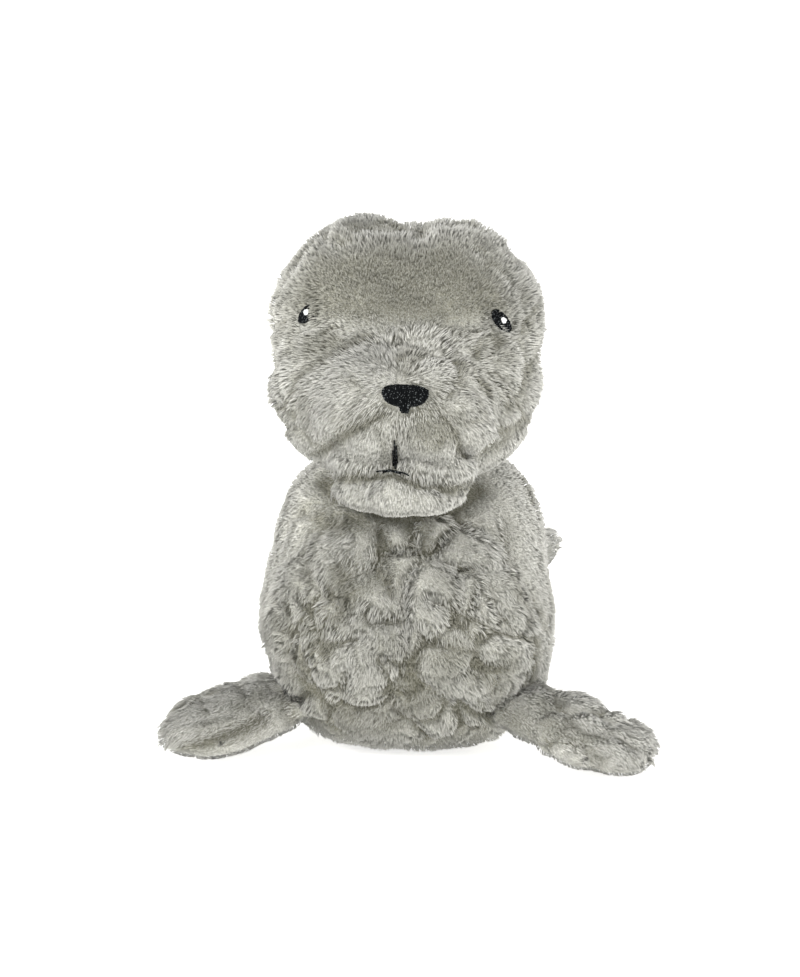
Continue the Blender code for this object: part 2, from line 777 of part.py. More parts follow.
def build_flippers(parts, finish, body_outside):
    """Front and hind flippers, each an upper and a lower plush layer, set against the body."""
    paddles = {
        "front_flipper_left": (LEFT_FRONT_FLIPPER, 1),
        "front_flipper_right": (RIGHT_FRONT_FLIPPER, -1),
        "hind_flipper_left": (HIND_FLIPPER, 1),
        "hind_flipper_right": (HIND_FLIPPER, -1),
    }
    for name, (paddle, side) in paddles.items():
        form = flipper_form(paddle, side)
        frame = frame_at(f"{name}_frame", parts, form.frame)
        for layer, up in (("upper", 1), ("lower", -1)):
            made = place(f"{name}_{layer}", layer_of(form, up), parts, finish, frame)
            boolean(made, "DIFFERENCE", body_outside)


def main():
    for old in list(bpy.data.objects):
        bpy.data.objects.remove(old)
    parts = collection("plush_seal")
    cutters = collection("cutters")
    finishes = {
        "plush": material("plush", PLUSH_GREY, 0.95),
        "black thread": material("black_thread", THREAD_BLACK, 0.55),
        "white thread": material("white_thread", THREAD_WHITE, 0.50),
        "fibre": material("polyester_fibre", FIBRE_WHITE, 0.95),
        "squeaker": material("polyethylene", SQUEAKER_WHITE, 0.45),
    }
    head = Head(parts, cutters, finishes)
    body = Body(parts, cutters, finishes)
    head.build_cover()
    body.build_cover()
    head_outside = head.cut_solid("head_outside", -SEAM_GAP)
    head_core = head.cut_solid("head_core", PLUSH)
    body_core = cutter("body_core", body.form.solid(PLUSH), cutters)
    body_outside = cutter("body_outside", body.form.solid(-SEAM_GAP), cutters)
    for panel in head.panels.values():
        boolean(panel, "DIFFERENCE", body_core)
    for panel in body.panels:
        boolean(panel, "DIFFERENCE", head_outside)
    head.build_embroidery()
    head.build_stuffing()
    body.build_stuffing(head_core)
    body.build_squeaker()
    build_flippers(parts, finishes["plush"], body_outside)


main()
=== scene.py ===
"""Looks of the plush seal dog toy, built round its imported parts.

Metres, +Z up. The seal faces -Y, and left and right are the seal's own, so left is +X.
Cloth is simulated over the fillings, and the pile is grown on it strand by strand.
"""

import logging
import math
from dataclasses import dataclass
from enum import Enum
from typing import Any

import bmesh
import bpy
import numpy as np
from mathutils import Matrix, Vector
from mathutils.bvhtree import BVHTree


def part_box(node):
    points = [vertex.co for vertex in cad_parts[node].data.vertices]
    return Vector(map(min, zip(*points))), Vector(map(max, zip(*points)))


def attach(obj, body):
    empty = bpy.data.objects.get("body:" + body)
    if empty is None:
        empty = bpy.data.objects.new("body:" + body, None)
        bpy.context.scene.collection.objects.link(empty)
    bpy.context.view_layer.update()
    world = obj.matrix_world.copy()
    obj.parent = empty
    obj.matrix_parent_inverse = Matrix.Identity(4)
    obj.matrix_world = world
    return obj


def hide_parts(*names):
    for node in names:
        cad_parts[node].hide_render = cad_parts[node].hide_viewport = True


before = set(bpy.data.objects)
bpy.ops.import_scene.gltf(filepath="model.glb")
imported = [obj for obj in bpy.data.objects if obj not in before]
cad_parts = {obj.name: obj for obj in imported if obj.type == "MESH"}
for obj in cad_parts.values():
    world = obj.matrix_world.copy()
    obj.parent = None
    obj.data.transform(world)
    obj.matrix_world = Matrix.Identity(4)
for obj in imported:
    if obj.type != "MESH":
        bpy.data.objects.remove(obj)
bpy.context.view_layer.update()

BODY = "root"
MM = 0.001
FLOOR_CLEARANCE = 0.2 * MM
CLOTH_CLEARANCE = 2.5 * MM

# Short names for the kinds of node and socket that are used most
MATH = "ShaderNodeMath"
VECTOR = "ShaderNodeVectorMath"
MAP = "ShaderNodeMapRange"
MIX = "ShaderNodeMix"
NOISE = "ShaderNodeTexNoise"
VORONOI = "ShaderNodeTexVoronoi"
COORDS = "ShaderNodeTexCoord"
PRINCIPLED = "ShaderNodeBsdfPrincipled"
NAMED = "GeometryNodeInputNamedAttribute"
STORE = "GeometryNodeStoreNamedAttribute"
SAMPLE = "GeometryNodeSampleIndex"
OBJECT = "GeometryNodeObjectInfo"
GROUP = "GeometryNodeGroup"
PLACE = "GeometryNodeInputPosition"
MOVE = "GeometryNodeSetPosition"
RANDOM = "FunctionNodeRandomValue"
COMPARE = "FunctionNodeCompare"
GIVEN = "NodeGroupInput"
RESULT = "NodeGroupOutput"
NUMBER = "NodeSocketFloat"
SHAPE = "NodeSocketGeometry"
THING = "NodeSocketObject"
WAY = "NodeSocketVector"

log = logging.getLogger("plush_seal")


class Slot(str, Enum):
    """The record's material slots."""

    PLUSH = "plush"
    BLACK_THREAD = "black_thread"
    WHITE_THREAD = "white_thread"
    FIBRE = "polyester_fibre"
    SQUEAKER = "squeaker"


def linear(code: str) -> tuple[float, float, float, float]:
    """The linear colour of an sRGB hex code.

    Args:
        code: Six hex digits after a hash sign.

    Returns:
        Red, green, blue and an alpha of 1.
    """
    parts = [int(code[i : i + 2], 16) / 255 for i in (1, 3, 5)]
    red, green, blue = (p / 12.92 if p <= 0.04045 else ((p + 0.055) / 1.055) ** 2.4 for p in parts)
    return red, green, blue, 1.0


def put(tree: bpy.types.NodeTree, kind: str, inputs: Any = (), **settings: Any) -> bpy.types.Node:
    """Adds one node with its settings, values and links.

    Args:
        tree: The node tree.
        kind: The node's type.
        inputs: Values in the order of the node's sockets in use, or by socket name. A socket is
            linked, and a node is linked by its first output in use. None leaves a socket alone.
        settings: Properties of the node.

    Returns:
        The new node.
    """
    made = tree.nodes.new(kind)
    for name, value in settings.items():
        setattr(made, name, value)
    used = [socket for socket in made.inputs if socket.enabled]
    named = {socket.name: socket for socket in reversed(used)}
    pairs = inputs.items() if isinstance(inputs, dict) else enumerate(inputs)
    for key, value in pairs:
        socket = used[key] if isinstance(key, int) else named[key]
        if isinstance(value, bpy.types.Node):
            value = next(output for output in value.outputs if output.enabled)
        if isinstance(value, bpy.types.NodeSocket):
            tree.links.new(value, socket)
        elif value is not None:
            socket.default_value = value
    return made


def new_group(
    name: str, inputs: dict[str, str], outputs: dict[str, str]
) -> tuple[bpy.types.GeometryNodeTree, dict[str, str]]:
    """Makes an empty Geometry Nodes group with its sockets.

    Args:
        name: The group's name.
        inputs: The kinds of its inputs by name.
        outputs: The kinds of its outputs by name.

    Returns:
        The group, and its inputs' identifiers by name.
    """
    tree = bpy.data.node_groups.new(name, "GeometryNodeTree")
    known = {}
    for socket, kind in inputs.items():
        made = tree.interface.new_socket(socket, in_out="INPUT", socket_type=kind)
        known[socket] = made.identifier
    for socket, kind in outputs.items():
        tree.interface.new_socket(socket, in_out="OUTPUT", socket_type=kind)
    return tree, known


def new_material(name: str) -> tuple[bpy.types.Material, bpy.types.NodeTree]:
    """A material with an empty node tree, and that tree."""
    made = bpy.data.materials.new(name)
    made.use_nodes = True
    made.node_tree.nodes.clear()
    return made, made.node_tree


@dataclass(frozen=True)
class Plush:
    """Polyester plush: long brushed strands over a dense, finer pile.

    Each strand is frosted silver grey at its tip and warmer at its root. Where the pile stands
    open an olive tint is multiplied in, most at the roots: painted shade of the eye looking down
    between the strands, laid in creases, valleys and folds, under the chin, on the forehead and the
    bib, and in slow random patches. The light falls on the lie of the whole pile more than on each
    strand, as it does on fibre this fine. The finer pile below shows as a close grain, 0.7 mm across.
    """

    stops: tuple[tuple[float, str], ...] = (
        (0.0, "#b2b1a6"), (0.35, "#c2c1b7"), (0.7, "#d1d0c8"), (1.0, "#dddcd6")
    )
    # Painted shade: the olive that open pile is multiplied by.
    open_shade_tint: tuple[float, float, float] = (0.25, 0.243, 0.18)
    together: float = 0.8
    roughness: float = 0.85
    sheen: float = 0.3
    fibre: float = 0.8 * MM
    fibre_spread: float = 0.10
    patch: float = 24 * MM
    patch_spread: float = 0.08
    grain: float = 0.7 * MM

    def attribute(self, tree: bpy.types.NodeTree, name: str, output: str) -> bpy.types.NodeSocket:
        """One of the mesh's attributes."""
        return put(tree, "ShaderNodeAttribute", attribute_name=name).outputs[output]

    def toned(self, tree: bpy.types.NodeTree, along: Any, gain: Any, bare: Any) -> bpy.types.Node:
        """Adds the plush's colour.

        Args:
            tree: The material's tree.
            along: The place on the strand, from 0 at its root to 1 at its tip.
            gain: How light this strand is.
            bare: How much painted shade of open pile is multiplied in, from 0 to 1.

        Returns:
            The node whose output is the colour.
        """
        ramp = put(tree, "ShaderNodeValToRGB", [along])
        elements = ramp.color_ramp.elements
        for place, _ in self.stops[1:-1]:
            elements.new(place)
        for element, (place, code) in zip(elements, self.stops):
            element.position = place
            element.color = linear(code)
        # Painted shade: the olive tint is mixed in by how open the pile stands, fully at the roots and
        # at 0.72 of that at the tips.
        depth = put(tree, MAP, [along, 0.0, 1.0, 1.0, 0.72])
        olive_shade = put(tree, MATH, [depth, bare], operation="MULTIPLY")
        tint = put(tree, MIX, [olive_shade, (1, 1, 1, 1), (*self.open_shade_tint, 1)], data_type="RGBA")
        where = put(tree, COORDS).outputs["Object"]
        for size, spread in ((self.fibre, self.fibre_spread), (self.patch, self.patch_spread)):
            noise = put(tree, NOISE, {"Vector": where, "Scale": 1 / size, "Detail": 1.0})
            level = put(tree, MAP, [noise, 0.3, 0.7, 1 - spread, 1 + spread])
            gain = put(tree, MATH, [level, gain], operation="MULTIPLY")
        tinted = put(tree, VECTOR, [ramp, tint], operation="MULTIPLY")
        return put(tree, VECTOR, {"Vector": tinted, "Scale": gain}, operation="SCALE")

    def finish(self, tree: bpy.types.NodeTree, colour: Any, facing: Any) -> None:
        """Adds the shader and the output."""
        shader = put(
            tree,
            PRINCIPLED,
            {
                "Base Color": colour, "Roughness": self.roughness, "Sheen Weight": self.sheen,
                "Sheen Roughness": 0.5, "Specular IOR Level": 0.2, "Normal": facing,
            },
        )
        put(tree, "ShaderNodeOutputMaterial", [shader])

    def build_strands(self) -> bpy.types.Material:
        """Makes the strands' material, which reads each strand's own attributes."""
        made, tree = new_material("brushed_polyester_plush")
        along, shade, bare = (self.attribute(tree, name, "Fac") for name in ("along", "shade", "open"))
        colour = self.toned(tree, along, shade, bare)
        own = put(tree, "ShaderNodeNewGeometry").outputs["Normal"]
        lie = self.attribute(tree, "lie", "Vector")
        shared = put(tree, MIX, [self.together, own, lie], data_type="VECTOR")
        self.finish(tree, colour, put(tree, VECTOR, [shared], operation="NORMALIZE"))
        return made

    def build_ground(self) -> bpy.types.Material:
        """Makes the material of the dense pile that the strands stand over."""
        made, tree = new_material("dense_polyester_pile")
        where = put(tree, COORDS).outputs["Object"]
        grain = put(
            tree, NOISE, {"Vector": where, "Scale": 1 / self.grain, "Detail": 2.0}
        )
        along = put(tree, MAP, [grain, 0.3, 0.7, 0.1, 0.9])
        # Painted shade: the ground gets the olive tint where the pile stands open, and in valleys and
        # folds.
        bare = put(
            tree,
            MATH,
            [self.attribute(tree, "open", "Fac"), self.attribute(tree, "hollow", "Fac")],
            operation="MAXIMUM",
        )
        bump = put(tree, "ShaderNodeBump", {"Height": grain, "Strength": 0.7, "Distance": 0.6 * MM})
        self.finish(tree, self.toned(tree, along, 1.0, bare), bump)
        return made


@dataclass(frozen=True)
class GrainyFinish:
    """A finish whose colour, roughness and relief all follow one fine grain, with pale flecks of
    painted highlight where its fleck share is set.

    The embroidery is rayon thread: soft gloss that breaks up along its twist, every 0.5 mm.
    The filling is carded polyester fibre: matt white locks about 6 mm across. The squeaker is
    blown polyethylene: milky, half matt, with a faint orange peel.
    """

    name: str
    dark: str
    light: str
    grain: float
    roughness: tuple[float, float]
    relief: float
    detail: float = 3.0
    sheen: float = 0.0
    gloss: float = 0.5
    # How strong the pale flecks of painted highlight are.
    highlight_flecks: float = 0.0

    def build(self) -> bpy.types.Material:
        """Makes the material."""
        made, tree = new_material(self.name)
        where = put(tree, COORDS).outputs["Object"]
        grain = put(
            tree,
            NOISE,
            {"Vector": where, "Scale": 1 / self.grain, "Detail": self.detail},
        )
        colour = put(
            tree, MIX, [grain, linear(self.dark), linear(self.light)], data_type="RGBA"
        )
        # Painted highlights: a few pale flecks, as if stitch ends caught the light.
        highlight_noise = put(
            tree, NOISE, {"Vector": where, "Scale": 1.1 / self.grain, "Detail": 0.0}
        )
        lit = put(tree, MAP, [highlight_noise, 0.67, 0.73, 0.0, self.highlight_flecks])
        highlighted = put(tree, MIX, [lit, colour, (0.12, 0.13, 0.13, 1)], data_type="RGBA")
        rough = put(tree, MAP, [grain, 0.25, 0.75, *self.roughness])
        bump = put(tree, "ShaderNodeBump", {"Height": grain, "Strength": 0.5, "Distance": self.relief})
        shader = put(
            tree,
            PRINCIPLED,
            {
                "Base Color": highlighted, "Roughness": rough, "Normal": bump, "Sheen Weight": self.sheen,
                "Specular IOR Level": self.gloss,
            },
        )
        put(tree, "ShaderNodeOutputMaterial", [shader])
        return made


# The black thread gets the painted highlight flecks.
BLACK_RAYON = GrainyFinish(
    "black_rayon_thread", "#020203", "#0b0e10", 0.5 * MM, (0.4, 0.7), 0.1 * MM, gloss=0.06, highlight_flecks=1.0
)
WHITE_RAYON = GrainyFinish("white_rayon_thread", "#e9e9e5", "#ffffff", 0.5 * MM, (0.35, 0.65), 0.1 * MM)
CARDED_FIBRE = GrainyFinish(
    "carded_polyester_fibre", "#cfccc4", "#f2f0ea", 6 * MM, (0.8, 0.95), 1.5 * MM, 8.0, sheen=0.3
)
BLOWN_POLYETHYLENE = GrainyFinish(
    "blown_polyethylene", "#d9dcd8", "#e8ebe8", 0.8 * MM, (0.38, 0.5), 0.05 * MM
)


def plain_object(name: str, mesh: bpy.types.Mesh) -> bpy.types.Object:
    """Links a mesh to the scene as an object at the origin."""
    made = bpy.data.objects.new(name, mesh)
    bpy.context.scene.collection.objects.link(made)
    return made


def evaluated_mesh(source: bpy.types.Object) -> bpy.types.Mesh:
    """The object's mesh with its modifiers applied, as a new plain mesh."""
    graph = bpy.context.evaluated_depsgraph_get()
    return bpy.data.meshes.new_from_object(
        source.evaluated_get(graph), preserve_all_data_layers=True, depsgraph=graph
    )


def bake_modifiers(target: bpy.types.Object) -> None:
    """Applies all of an object's modifiers to its mesh."""
    mesh = evaluated_mesh(target)
    target.modifiers.clear()
    old = target.data
    target.data = mesh
    bpy.data.meshes.remove(old)


def points_of(mesh: bpy.types.Mesh) -> np.ndarray:
    """The mesh's vertices as rows."""
    flat = np.empty(len(mesh.vertices) * 3, np.float32)
    mesh.vertices.foreach_get("co", flat)
    return flat.reshape(-1, 3).astype(float)


def normals_of(mesh: bpy.types.Mesh) -> np.ndarray:
    """The mesh's vertex normals as rows."""
    flat = np.empty(len(mesh.vertices) * 3, np.float32)
    mesh.vertex_normals.foreach_get("vector", flat)
    return flat.reshape(-1, 3).astype(float)


def set_points(mesh: bpy.types.Mesh, points: np.ndarray) -> None:
    """Writes the mesh's vertices."""
    mesh.vertices.foreach_set("co", points.astype(np.float32).ravel())
    mesh.update()


def unit(rows: np.ndarray) -> np.ndarray:
    """Each row scaled to length one."""
    return rows / np.maximum(np.linalg.norm(rows, axis=1, keepdims=True), 1e-9)


def across(rows: np.ndarray, normals: np.ndarray) -> np.ndarray:
    """Each row laid into the surface that has the given normal, at length one."""
    rows = np.broadcast_to(rows, normals.shape)
    return unit(rows - normals * (rows * normals).sum(axis=1, keepdims=True))


def off_floor(points: np.ndarray) -> np.ndarray:
    """The points, with any that are too low raised to clear the floor."""
    return np.maximum(points, [-np.inf, -np.inf, CLOTH_CLEARANCE])


def smooth_step(values: np.ndarray, low: float, high: float) -> np.ndarray:
    """0 below low, 1 above high, and smooth in between."""
    share = np.clip((values - low) / (high - low), 0, 1)
    return share * share * (3 - 2 * share)


def merged_copy(nodes: tuple[str, ...]) -> bpy.types.Mesh:
    """One mesh with merged copies of CAD nodes.

    Args:
        nodes: Names of the CAD nodes.

    Returns:
        The joined mesh, its doubles merged.
    """
    shape = bmesh.new()
    for node in nodes:
        shape.from_mesh(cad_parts[node].data)
    bmesh.ops.remove_doubles(shape, verts=shape.verts, dist=1e-6)
    mesh = bpy.data.meshes.new("merged")
    shape.to_mesh(mesh)
    shape.free()
    return mesh


def tree_of(mesh: bpy.types.Mesh) -> BVHTree:
    """A search tree of the mesh's faces."""
    shape = bmesh.new()
    shape.from_mesh(mesh)
    made = BVHTree.FromBMesh(shape)
    shape.free()
    return made


def distances(tree: BVHTree, points: np.ndarray) -> np.ndarray:
    """The distance from each point to the nearest face of the tree."""
    return np.array([tree.find_nearest(Vector(point))[3] for point in points])


def centre_of(*nodes: str) -> Vector:
    """The middle of the box round CAD nodes."""
    lows, highs = zip(*(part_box(node) for node in nodes))
    low = Vector(map(min, *lows)) if len(lows) > 1 else lows[0]
    high = Vector(map(max, *highs)) if len(highs) > 1 else highs[0]
    return (low + high) / 2


@dataclass(frozen=True)
class StudioView:
    """The photograph's camera, as a real lens at a real distance."""

    azimuth: float = math.radians(6)
    elevation: float = math.radians(18)
    distance: float = 1.3
    focal_pixels: float = 3419.0
    width: int = 800
    height: int = 977
    target: tuple[float, float, float] = (0.0, 0.0, 0.080)
    target_pixel: tuple[float, float] = (411.0, 530.0)
    sensor: float = 36.0

    def axes(self) -> tuple[Vector, Vector, Vector]:
        """The directions to the right, up and back towards the camera."""
        back = Vector(
            (
                math.sin(self.azimuth) * math.cos(self.elevation),
                -math.cos(self.azimuth) * math.cos(self.elevation), math.sin(self.elevation),
            )
        )
        right = Vector((math.cos(self.azimuth), math.sin(self.azimuth), 0))
        return right, back.cross(right), back

    def build(self) -> bpy.types.Object:
        """Makes the scene's camera, aimed so that the target falls on its pixel."""
        right, up, back = self.axes()
        target = Vector(self.target)
        per_pixel = self.distance / self.focal_pixels
        aside = (self.target_pixel[0] - self.width / 2) * per_pixel
        below = (self.target_pixel[1] - self.height / 2) * per_pixel
        aim = target - right * aside + up * below
        lens = bpy.data.cameras.new("photo_camera")
        lens.sensor_width = self.sensor
        lens.lens = self.focal_pixels / self.height * self.sensor
        lens.clip_start, lens.clip_end = 0.05, 50.0
        camera = bpy.data.objects.new("photo_camera", lens)
        bpy.context.scene.collection.objects.link(camera)
        camera.location = target + back * self.distance
        camera.rotation_mode = "QUATERNION"
        camera.rotation_quaternion = (aim - camera.location).to_track_quat("-Z", "Y")
        bpy.context.scene.camera = camera
        return camera


@dataclass(frozen=True)
class SoftBox:
    """One studio lamp: where it stands, its side, and its light at the object."""

    name: str
    place: tuple[float, float, float]
    side: float
    level: float

    def build(self, aim: Vector) -> None:
        """Makes the lamp, turned to the aim. Level 1 lights a white card facing it to white."""
        place = Vector(self.place)
        way = aim - place
        lamp = bpy.data.lights.new(self.name, "AREA")
        lamp.shape = "SQUARE"
        lamp.size = self.side
        lamp.energy = self.level * math.pi**2 * way.length_squared
        made = bpy.data.objects.new(self.name, lamp)
        bpy.context.scene.collection.objects.link(made)
        made.location = place
        made.rotation_mode = "QUATERNION"
        made.rotation_quaternion = way.to_track_quat("-Z", "Y")


@dataclass(frozen=True)
class Studio:
    """A white studio: soft lamps, an even surround and a pale floor."""

    surround: float = 1.08
    floor_colour: str = "#f5f5f3"
    floor_lift: float = 0.6
    floor_glow: float = 0.25
    floor_side: float = 14.0
    lamps: tuple[SoftBox, ...] = (
        SoftBox("key_lamp", (-0.9, -1.5, 1.5), 1.0, 0.32),
        SoftBox("left_lamp", (-1.8, -0.4, 0.5), 1.2, 0.60),
        SoftBox("right_lamp", (1.8, -0.4, 0.5), 1.2, 0.38),
        SoftBox("low_lamp", (0.2, -1.7, 0.35), 1.0, 0.20),
        SoftBox("top_lamp", (0.1, 0.3, 1.9), 1.4, 0.08),
    )

    def white_rays(self, tree: bpy.types.NodeTree) -> bpy.types.Node:
        """1 for rays that should see plain white: camera, glossy and transmission rays."""
        path = put(tree, "ShaderNodeLightPath").outputs
        first = put(
            tree, MATH, [path["Is Camera Ray"], path["Is Glossy Ray"]], operation="MAXIMUM"
        )
        return put(tree, MATH, [first, path["Is Transmission Ray"]], operation="MAXIMUM")

    def build_world(self) -> None:
        """White for the eye, and an even light for the object."""
        world = bpy.data.worlds.new("studio_surround")
        bpy.context.scene.world = world
        world.use_nodes = True
        tree = world.node_tree
        tree.nodes.clear()
        level = put(tree, MAP, [self.white_rays(tree), 0.0, 1.0, self.surround, 1.0])
        sky = put(tree, "ShaderNodeBackground", [(1, 1, 1, 1), level])
        put(tree, "ShaderNodeOutputWorld", [sky])

    def build_floor(self) -> None:
        """A pale matt floor that keeps the toy's shadow."""
        made, tree = new_material("matt_white_floor")
        where = put(tree, COORDS).outputs["Object"]
        grain = put(tree, NOISE, {"Vector": where, "Scale": 40.0, "Detail": 2.0})
        rough = put(tree, MAP, [grain, 0.3, 0.7, 0.85, 0.95])
        lift = put(
            tree,
            MAP,
            [self.white_rays(tree), 0.0, 1.0, self.floor_glow, self.floor_lift],
        )
        shader = put(
            tree,
            PRINCIPLED,
            {
                "Base Color": linear(self.floor_colour), "Roughness": rough, "Specular IOR Level": 0.0,
                "Emission Color": (1, 1, 1, 1), "Emission Strength": lift,
            },
        )
        put(tree, "ShaderNodeOutputMaterial", [shader])
        shape = bmesh.new()
        bmesh.ops.create_grid(shape, x_segments=1, y_segments=1, size=self.floor_side / 2)
        mesh = bpy.data.meshes.new("studio_floor")
        shape.to_mesh(mesh)
        shape.free()
        mesh.materials.append(made)
        floor = plain_object("studio_floor", mesh)

    def build(self) -> None:
        """Makes the whole studio, and a plain colour transform."""
        aim = Vector((0, 0.02, 0.08))
        for lamp in self.lamps:
            lamp.build(aim)
        self.build_world()
        self.build_floor()
        bpy.context.scene.view_settings.view_transform = "Standard"


@dataclass(frozen=True)
class Fold:
    """A parting in the pile, drawn as seen from the camera.

    The line is in millimetres right and up of the point that its cover gives.
    """

    line: tuple[tuple[float, float], ...]
    reach: float
    cut: float
    # How dark the fold is painted, from 0 to 1: painted shade in the parting.
    bare: float = 0.0

    def laid_on(self, cloth: BVHTree, view: StudioView, origin: Vector) -> list[Vector]:
        """Casts the line onto the cloth.

        Args:
            cloth: The cloth to lay it on.
            view: The camera whose directions the line is drawn in.
            origin: The point that the line is measured from.

        Returns:
            Points on the cloth, about half a millimetre apart.
        """
        right, up, back = view.axes()
        corners = np.array(self.line) * MM
        steps = np.linalg.norm(np.diff(corners, axis=0), axis=1)
        place = np.concatenate([[0], np.cumsum(steps)])
        found = []
        for spot in np.arange(0, place[-1], 0.5 * MM):
            x = float(np.interp(spot, place, corners[:, 0]))
            y = float(np.interp(spot, place, corners[:, 1]))
            hit = cloth.ray_cast(origin + right * x + up * y + back * 0.2, -back)[0]
            if hit is not None:
                found.append(hit)
        return found


# Each fold gives its line, its reach, how far it cuts the pile down and how dark it is painted; that
# last number is painted shade, and folds that hardly cut are patches of painted shade.
HEAD_FOLDS = (
    Fold(
        ((-37.1, 7.4), (-29.8, 12.5), (-24.4, 15.0), (-16.5, 19.6), (-11.7, 23.0)), 6.5 * MM, 0.34, 0.75
    ),
    Fold(((-10.7, 25.0), (-4.4, 26.5), (4.4, 27.2), (12.5, 25.0), (21.7, 20.6)), 4.0 * MM, 0.2, 0.3),
    Fold(((-48.2, -2.2), (-43.8, -1.1), (-39.3, 1.5), (-37.1, 6.6)), 4.0 * MM, 0.55, 0.8),
    Fold(((-48.9, 24.3), (-45.2, 27.2), (-40.8, 30.1)), 4.0 * MM, 0.5, 0.7),
    Fold(((-34.9, 3.7), (-36.0, -2.2), (-34.9, -8.1), (-32.7, -16.2)), 3.5 * MM, 0.35, 0.6),
    Fold(
        ((-7.4, -4.4), (-11.8, -7.0), (-18.0, -9.6), (-24.6, -13.6), (-30.5, -16.9), (-33.5, -17.6)),
        4.6 * MM,
        0.45,
        0.9,
    ),
    Fold(((-9.6, -8.8), (-7.4, -13.2), (-7.4, -20.6)), 3.0 * MM, 0.3, 0.4),
    Fold(((-3.7, -8.8), (-3.3, -24.3)), 3.0 * MM, 0.35, 0.3),
    Fold(
        (
            (-29.0, -27.9), (-21.0, -26.5), (-11.8, -26.5), (-3.7, -26.1), (2.9, -29.0), (11.0, -30.9),
            (20.6, -29.4), (27.2, -25.7),
        ),
        3.8 * MM,
        0.6,
        0.8,
    ),
    Fold(
        (
            (-29.4, -30.9), (-26.5, -36.0), (-18.8, -40.1), (-10.3, -43.4), (0.0, -44.9), (12.5, -44.1),
            (22.8, -40.4), (26.5, -36.0), (27.2, -32.4),
        ),
        4.0 * MM,
        0.55,
        1.0,
    ),
    Fold(((11.8, -5.1), (16.9, -11.0), (19.1, -16.9), (21.0, -19.1)), 3.5 * MM, 0.5, 0.8),
    Fold(((14.0, 5.9), (22.1, 2.2), (26.5, -4.4)), 3.5 * MM, 0.35, 0.6),
    Fold(((30.1, 9.6), (36.8, 2.2), (41.2, -3.7), (44.9, -7.4)), 4.0 * MM, 0.5, 0.8),
    Fold(((27.9, -16.2), (31.6, -13.2)), 3.0 * MM, 0.55, 0.9),
    Fold(((-38.2, 38.2), (-39.7, 25.7), (-36.8, 16.2)), 6.0 * MM, 0.15, 0.5),
    Fold(((-32.4, 18.4), (-24.3, 20.6)), 9.0 * MM, 0.08, 0.75),
    Fold(((-33.1, 0.0), (-32.4, -7.4)), 5.0 * MM, 0.08, 0.5),
    Fold(((29.4, 17.6), (34.6, 16.2)), 9.0 * MM, 0.08, 0.55),
    Fold(((36.0, 42.3), (37.5, 33.1), (39.7, 20.2)), 4.0 * MM, 0.15, 0.4),
    Fold(((34.6, 7.4), (33.1, -3.7), (30.9, -11.0)), 5.0 * MM, 0.1, 0.45),
    Fold(((-43.8, -4.4), (-42.3, -14.7)), 6.0 * MM, 0.45, 0.3),
    Fold(((6.6, 63.2), (5.1, 57.0)), 7.0 * MM, 0.45, 0.2),
)

